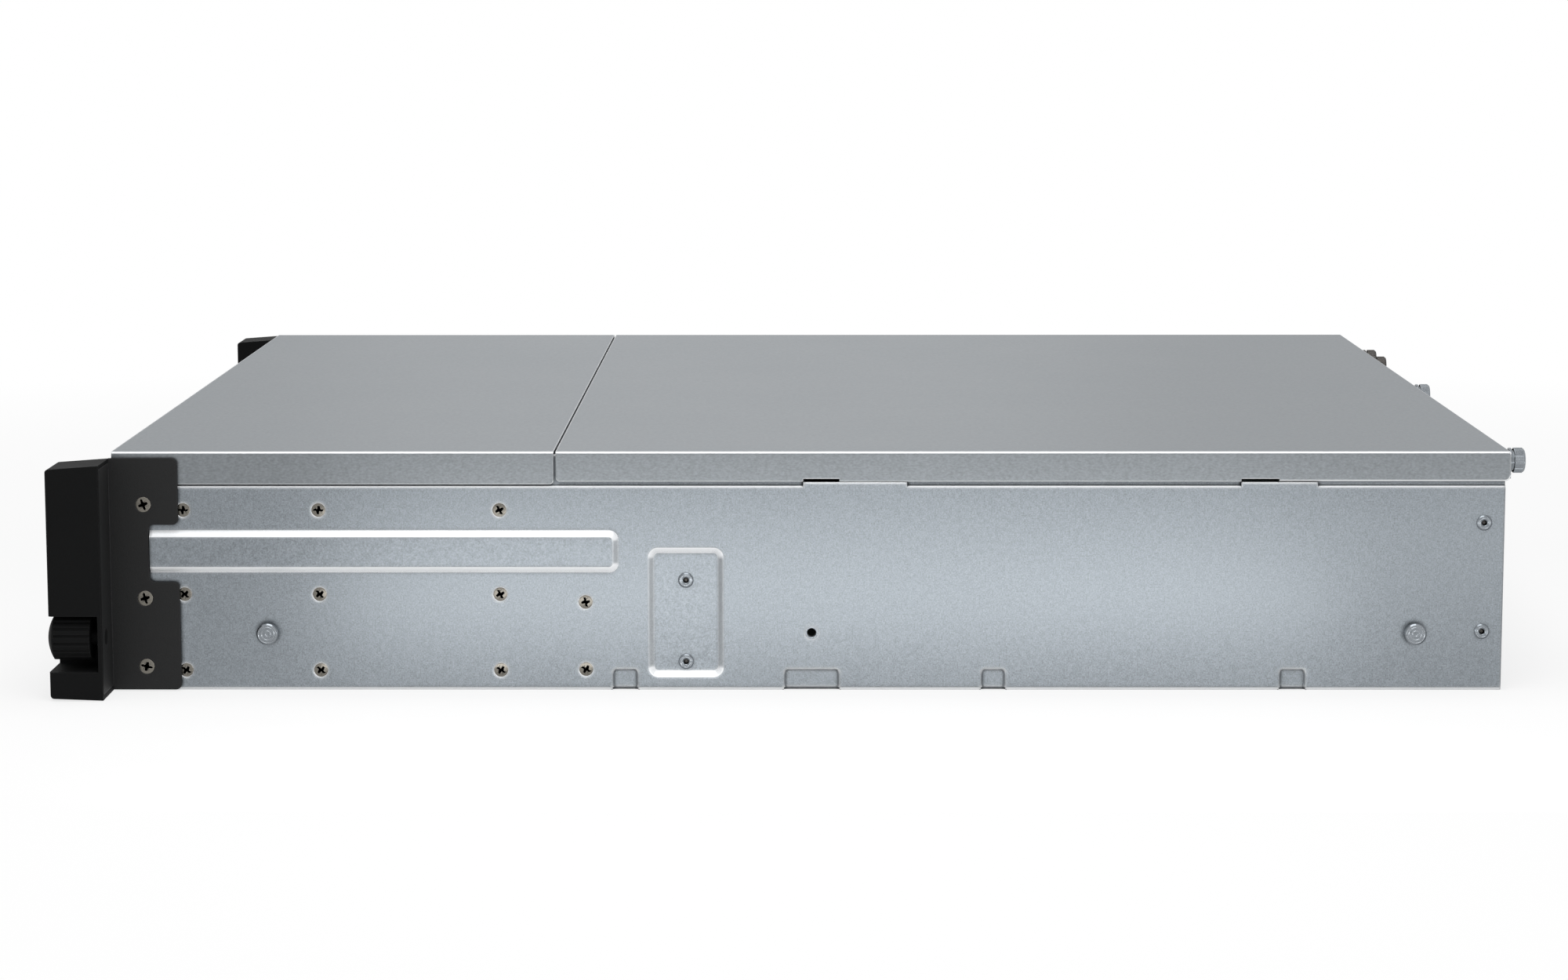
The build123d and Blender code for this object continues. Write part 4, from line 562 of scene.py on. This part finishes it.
def knurledKnob(radius):
    core = radius - knurl["tooth"] - knurl["sink"]
    dishZ = knurl["top"] - knurl["dish"]
    neck = core - knurl["neck"]
    profile = ((0, dishZ), (radius * knurl["dishFloor"], dishZ), (radius * knurl["dishRim"], knurl["top"]),
               (core - knurl["bevel"], knurl["top"]), (core, knurl["top"] - knurl["bevel"]),
               (core, knurl["low"]), (neck, knurl["low"]), (neck, knurl["collar"]),
               (radius - knurl["collarBevel"], knurl["collar"]),
               (radius, knurl["collar"] - knurl["collarBevel"]), (radius, 0),
               (knurl["shank"], 0), (knurl["shank"], knurl["shankEnd"]), (0, knurl["shankEnd"]))
    knob = turned(profile, knurl["steps"])
    gear = bmesh.new()
    bmesh.ops.create_circle(gear, cap_ends=True, segments=2 * knurl["teeth"], radius=radius * mm)
    gear.verts.ensure_lookup_table()
    inner = (radius - knurl["tooth"]) / radius
    bmesh.ops.scale(gear, vec=(inner, inner, 1), verts=list(gear.verts)[::2])
    raised = bmesh.ops.extrude_face_region(gear, geom=gear.faces[:])["geom"]
    raisedVerts = [item for item in raised if isinstance(item, bmesh.types.BMVert)]
    bmesh.ops.translate(gear, vec=(0, 0, (knurl["high"] - knurl["low"]) * mm), verts=raisedVerts)
    bmesh.ops.translate(gear, vec=(0, 0, knurl["low"] * mm), verts=gear.verts)
    return joinInto(knob, gear)


for node, (x, radius, slotName) in knobs.items():
    knob = stampCopies(knurledKnob(radius), [facingRear(x, knurl["seatY"], knurl["z"])])
    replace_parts(newPiece("knurled_" + node, knob, node, finishes[slotName], 25), node)
print("thumbscrews made:", len(knobs))

# plug inlets of the power modules: three blades each
inlet = {"xs": (-160.85, -85.75), "z": 22.2, "face": 252.85, "depth": 13.0, "root": 0.2,
         "pin": (2.0, 10.5, 4.0), "pins": ((-7.0, -1.6), (0.0, 2.4), (7.0, -1.6)), "bevel": 0.35}
for number, x in enumerate(inlet["xs"], start=1):
    middle = inlet["face"] - inlet["depth"] + inlet["pin"][1] / 2 - inlet["root"]
    places = [at(x + across, middle, inlet["z"] + up) for across, up in inlet["pins"]]
    newPiece(f"inletPins_{number}", stampCopies(block(inlet["pin"], inlet["bevel"]), places),
             f"power_module_{number}", finishes["nickel"])

# network jack: sprung contact wires in the roof of each socket
jack = {"xs": (0.2, 13.4, 26.6, 39.8), "wires": 8, "pitch": 1.02, "wire": (0.42, 9.5, 0.34), "bevel": 0.1,
        "y": 244.2, "z": 17.6, "tilt": -9}
wirePlaces = [at(x + (index - (jack["wires"] - 1) / 2) * jack["pitch"], jack["y"], jack["z"])
              @ Matrix.Rotation(math.radians(jack["tilt"]), 4, "X")
              for x in jack["xs"] for index in range(jack["wires"])]
newPiece("networkContacts", stampCopies(block(jack["wire"], jack["bevel"]), wirePlaces), "chassis",
         extras["goldPlate"])
print("inlet pins and contacts made:", len(inlet["xs"]) * len(inlet["pins"]) + len(wirePlaces))

# black plastic linings on the back, floor and cheeks of each socket and inlet
linings = {"socketLinings": {"body": "chassis", "xs": jack["xs"], "width": 11.76, "low": 11.22,
                             "rise": 8.16, "back": 238.68, "cheek": 8.0},
           "inletLining_1": {"body": "power_module_1", "xs": inlet["xs"][:1], "width": 24.36,
                             "low": 14.02, "rise": 16.36, "back": 239.87, "cheek": 13.0},
           "inletLining_2": {"body": "power_module_2", "xs": inlet["xs"][1:], "width": 24.36,
                             "low": 14.02, "rise": 16.36, "back": 239.87, "cheek": 13.0}}
lining = {"wall": 0.3, "lap": 0.04, "depth": 12.2}
for name, look in linings.items():
    half = (look["width"] - lining["wall"]) / 2
    middleY = look["back"] + lining["lap"] + lining["depth"] / 2
    back = (look["width"], lining["wall"], look["rise"])
    base = (look["width"] - lining["lap"], lining["depth"], lining["wall"])
    cheek = (lining["wall"], lining["depth"], look["cheek"])
    cheekUp = lining["lap"] + look["cheek"] / 2
    skins = ((back, 0, look["back"] + lining["wall"] / 2, look["rise"] / 2),
             (base, 0, middleY, lining["wall"] / 2),
             (cheek, -half, middleY, cheekUp), (cheek, half, middleY, cheekUp))
    skin = bmesh.new()
    for size, across, y, up in skins:
        places = [at(x + across, y, look["low"] + up) for x in look["xs"]]
        skin = joinInto(skin, stampCopies(block(size), places))
    newPiece(name, skin, look["body"], finishes["black_plastic"])
print("linings made:", len(linings))

# drive trays: two light lenses in each bezel's rim, a pressed lid over the drive and its board below
tray = {"count": 12, "columns": (-162.6, -54.2, 54.2, 162.6), "rows": (15.4, 43.2, 71.0),
        "halfWidth": 53.8}
driveSkin = {"lid": (98.0, 141.0, 0.4), "board": (92.0, 104.0, 0.4), "middleY": -159.65, "half": 13.05,
             "bevel": 0.12}
lens = {"profile": ((0.0, 0.16), (0.525, 0.08), (0.75, -0.12), (0.75, -0.6), (0.0, -0.6)), "inset": 1.25,
        "up": (-6.5, 6.5), "face": -255.65, "steps": 16}
for number in range(1, tray["count"] + 1):
    middle = tray["columns"][(number - 1) % len(tray["columns"])]
    z = tray["rows"][(number - 1) // len(tray["columns"])]
    edgeX = middle + tray["halfWidth"] - lens["inset"]
    places = [facingFront(edgeX, lens["face"], z + up) for up in lens["up"]]
    newPiece(f"trayLights_{number}", stampCopies(turned(lens["profile"], lens["steps"]), places),
             f"drive_tray_{number}", extras["lensPlastic"])
    for name, part, up, slotName in (("driveLid", "lid", 1, "module_case"),
                                     ("driveBoard", "board", -1, "memory_board")):
        place = at(middle, driveSkin["middleY"], z + up * driveSkin["half"])
        newPiece(f"{name}_{number}", stampCopies(block(driveSkin[part], driveSkin["bevel"]), [place]),
                 f"drive_tray_{number}", finishes[slotName])
print("trays dressed:", tray["count"])

# main board parts: capacitors, coils, chips, card sockets, power socket and battery
boardTop = 8.6
capacitor = {"profile": ((0.0, 8.4), (2.4, 8.4), (2.8, 9.0), (3.2, 8.6), (3.2, 1.4), (2.9, 1.1),
                         (3.2, 0.8), (3.2, 0.0), (0.0, 0.0)), "steps": 20,
             "places": [(x, 84 + 9 * index) for x in (158, 52) for index in range(9)]
                       + [(x, y) for x in (20, 196) for y in (225, 234)]}
coil = {"size": (9, 9, 7), "bevel": 0.8, "places": [(170, 86 + 11 * index) for index in range(7)]}
chip = {"size": (14, 14, 1.4), "bevel": 0.25,
        "places": [(30, 40), (190, 60), (30, 150), (190, 190), (140, 40), (60, 30)]}
smallChip = {"size": (5, 4, 1.2), "bevel": 0.2,
             "places": [(12 + 17 * index, 64) for index in range(11)]
                       + [(12 + 9 * index, 215) for index in range(4)]}
cardSocket = {"size": (7.6, 62, 10.5), "bevel": 0.5, "places": [(64.0, 207), (84.3, 207), (104.6, 207)]}
powerSocket = {"size": (11, 52, 12), "bevel": 0.6, "places": [(196, 130)]}
battery = {"profile": ((0.0, 3.4), (9.2, 3.4), (10.0, 2.8), (10.0, 0.0), (0.0, 0.0)), "steps": 36,
           "places": [(32, 192)]}
hub = {"profile": ((0.0, 12.0), (13.5, 12.0), (14.0, 11.5), (14.0, 0.0), (0.0, 0.0)), "steps": 4,
       "places": [(140, 210)]}


def boardBlocks(look):
    places = [at(x, y, boardTop + look["size"][2] / 2) for x, y in look["places"]]
    return stampCopies(block(look["size"], look["bevel"]), places)


def boardTurned(look):
    places = [at(x, y, boardTop) for x, y in look["places"]]
    return stampCopies(turned(look["profile"], look["steps"]), places)


newPiece("boardCapacitors", boardTurned(capacitor), "chassis", finishes["fin_metal"])
newPiece("boardCoils", boardBlocks(coil), "chassis", extras["chipPlastic"])
newPiece("boardChips", joinInto(boardBlocks(chip), boardBlocks(smallChip)), "chassis",
         extras["chipPlastic"])
newPiece("cardSockets", boardBlocks(cardSocket), "chassis", extras["chipPlastic"])
newPiece("boardPowerSocket", boardBlocks(powerSocket), "chassis", finishes["tray_body"])
newPiece("boardBattery", boardTurned(battery), "chassis", finishes["bright_steel"])
newPiece("hubCooler", boardTurned(hub), "chassis", finishes["fin_metal"])

# memory modules: a row of chips on both faces
memory = {"xs": (-5.0, -15.0, -25.0, -35.0), "middleY": 118.85, "pitch": 13.5, "chips": 9,
          "chip": (0.9, 9.6, 11.0), "bevel": 0.15, "z": 28.5, "offset": 1.2}
memoryPlaces = [at(x + side * memory["offset"],
                   memory["middleY"] + (index - (memory["chips"] - 1) / 2) * memory["pitch"], memory["z"])
                for x in memory["xs"] for side in (-1, 1) for index in range(memory["chips"])]
newPiece("memoryChips", stampCopies(block(memory["chip"], memory["bevel"]), memoryPlaces), "chassis",
         extras["chipPlastic"])
print("board parts made, memory chips:", len(memoryPlaces))


# pale floor: white to the camera, with the object's own soft shadow
floorLook = {"half": 14, "paint": (0.88, 0.88, 0.88), "speck": 3.0, "speckTone": (0.97, 1.03), "rough": 0.9,
             "glow": (0.72, 1.0), "reach": (0.28, 0.95)}


def mirrored(tree, path):
    # 1 for rays that reflect or pass through
    return calc(tree, "MAXIMUM", path["Is Glossy Ray"], path["Is Transmission Ray"])


def makeFloor():
    bm = bmesh.new()
    bmesh.ops.create_grid(bm, x_segments=1, y_segments=1, size=floorLook["half"])
    mesh = bpy.data.meshes.new("floor")
    bm.to_mesh(mesh)
    bm.free()
    material, tree, shader = blankFinish("floorPaint")
    where = addNode(tree, "TexCoord").outputs["Object"]
    speck = spread(tree, noise(tree, where, floorLook["speck"]), *floorLook["speckTone"])
    feed(tree, shader.inputs["Base Color"], tinted(tree, floorLook["paint"], speck))
    shader.inputs["Roughness"].default_value = floorLook["rough"]
    shader.inputs["Specular IOR Level"].default_value = 0.0
    away = addNode(tree, "VectorMath", {0: where}, operation="LENGTH").outputs["Value"]
    level = spread(tree, away, *floorLook["glow"], *floorLook["reach"])
    path = addNode(tree, "LightPath").outputs
    direct = calc(tree, "MULTIPLY", path["Is Camera Ray"], level)
    seen = calc(tree, "MAXIMUM", direct, mirrored(tree, path))
    glow = addNode(tree, "Emission", {"Color": (1, 1, 1, 1), "Strength": 1.0})
    mixed = addNode(tree, "MixShader", {0: seen, 1: shader.outputs[0], 2: glow.outputs[0]})
    tree.links.new(mixed.outputs[0], tree.nodes["Material Output"].inputs["Surface"])
    mesh.materials.append(material)
    floor = bpy.data.objects.new("floor", mesh)
    bpy.context.scene.collection.objects.link(floor)


makeFloor()

# studio light: an even white room, a soft box overhead, three low strips along the wall and one box behind
roomFill = 0.55
studioBoxes = {
    "overheadBox": {"place": (0.35, 0.0, 1.0), "size": (0.7, 1.3), "power": 8.0, "aim": (0, 0, 0.03)},
    "lowBox": {"place": (0.42, 0.01, 0.022), "size": (0.40, 0.03), "power": 0.12, "aim": (0, 0.01, 0.022)},
    "footBox": {"place": (0.34, 0.01, 0.010), "size": (0.40, 0.015), "power": 0.058, "aim": (0, 0.01, 0.010)},
    "edgeBox": {"place": (0.42, 0.37, 0.022), "size": (0.30, 0.03), "power": 0.060, "aim": (0, 0.37, 0.022)},
    "backBox": {"place": (-2.4, -0.1, 0.75), "size": (0.8, 0.3), "power": 0.5, "aim": (0, 0, 0.03)},
}


def makeLights():
    world = bpy.data.worlds.new("studioRoom")
    bpy.context.scene.world = world
    world.use_nodes = True
    tree = world.node_tree
    background = tree.nodes["Background"]
    background.inputs["Color"].default_value = (1, 1, 1, 1)
    path = addNode(tree, "LightPath").outputs
    seen = calc(tree, "MAXIMUM", path["Is Camera Ray"], mirrored(tree, path))
    feed(tree, background.inputs["Strength"], spread(tree, seen, roomFill, 1.0))
    for name, look in studioBoxes.items():
        lamp = bpy.data.lights.new(name, "AREA")
        lamp.shape = "RECTANGLE"
        lamp.size, lamp.size_y = look["size"]
        lamp.energy = look["power"]
        holder = bpy.data.objects.new(name, lamp)
        holder.location = look["place"]
        aim = Vector(look["aim"]) - Vector(look["place"])
        holder.rotation_euler = aim.to_track_quat("-Z", "Y").to_euler()
        bpy.context.scene.collection.objects.link(holder)
    print("lamps made:", len(studioBoxes))


makeLights()

# camera fitted to the photograph: metres, degrees and millimetres
camera = {"place": (1.57117, -0.00055, 0.26158), "turn": (82.09725, 0.05508, 90.34434), "lens": 86.28291,
          "sensor": 36, "clip": (0.05, 60)}


def makeCamera():
    optics = bpy.data.cameras.new("photoView")
    optics.lens = camera["lens"]
    optics.sensor_width = camera["sensor"]
    optics.clip_start, optics.clip_end = camera["clip"]
    holder = bpy.data.objects.new("photoView", optics)
    holder.location = camera["place"]
    holder.rotation_euler = [math.radians(angle) for angle in camera["turn"]]
    bpy.context.scene.collection.objects.link(holder)
    bpy.context.scene.camera = holder


makeCamera()
bpy.context.scene.view_settings.view_transform = "Standard"
print("stage ready")
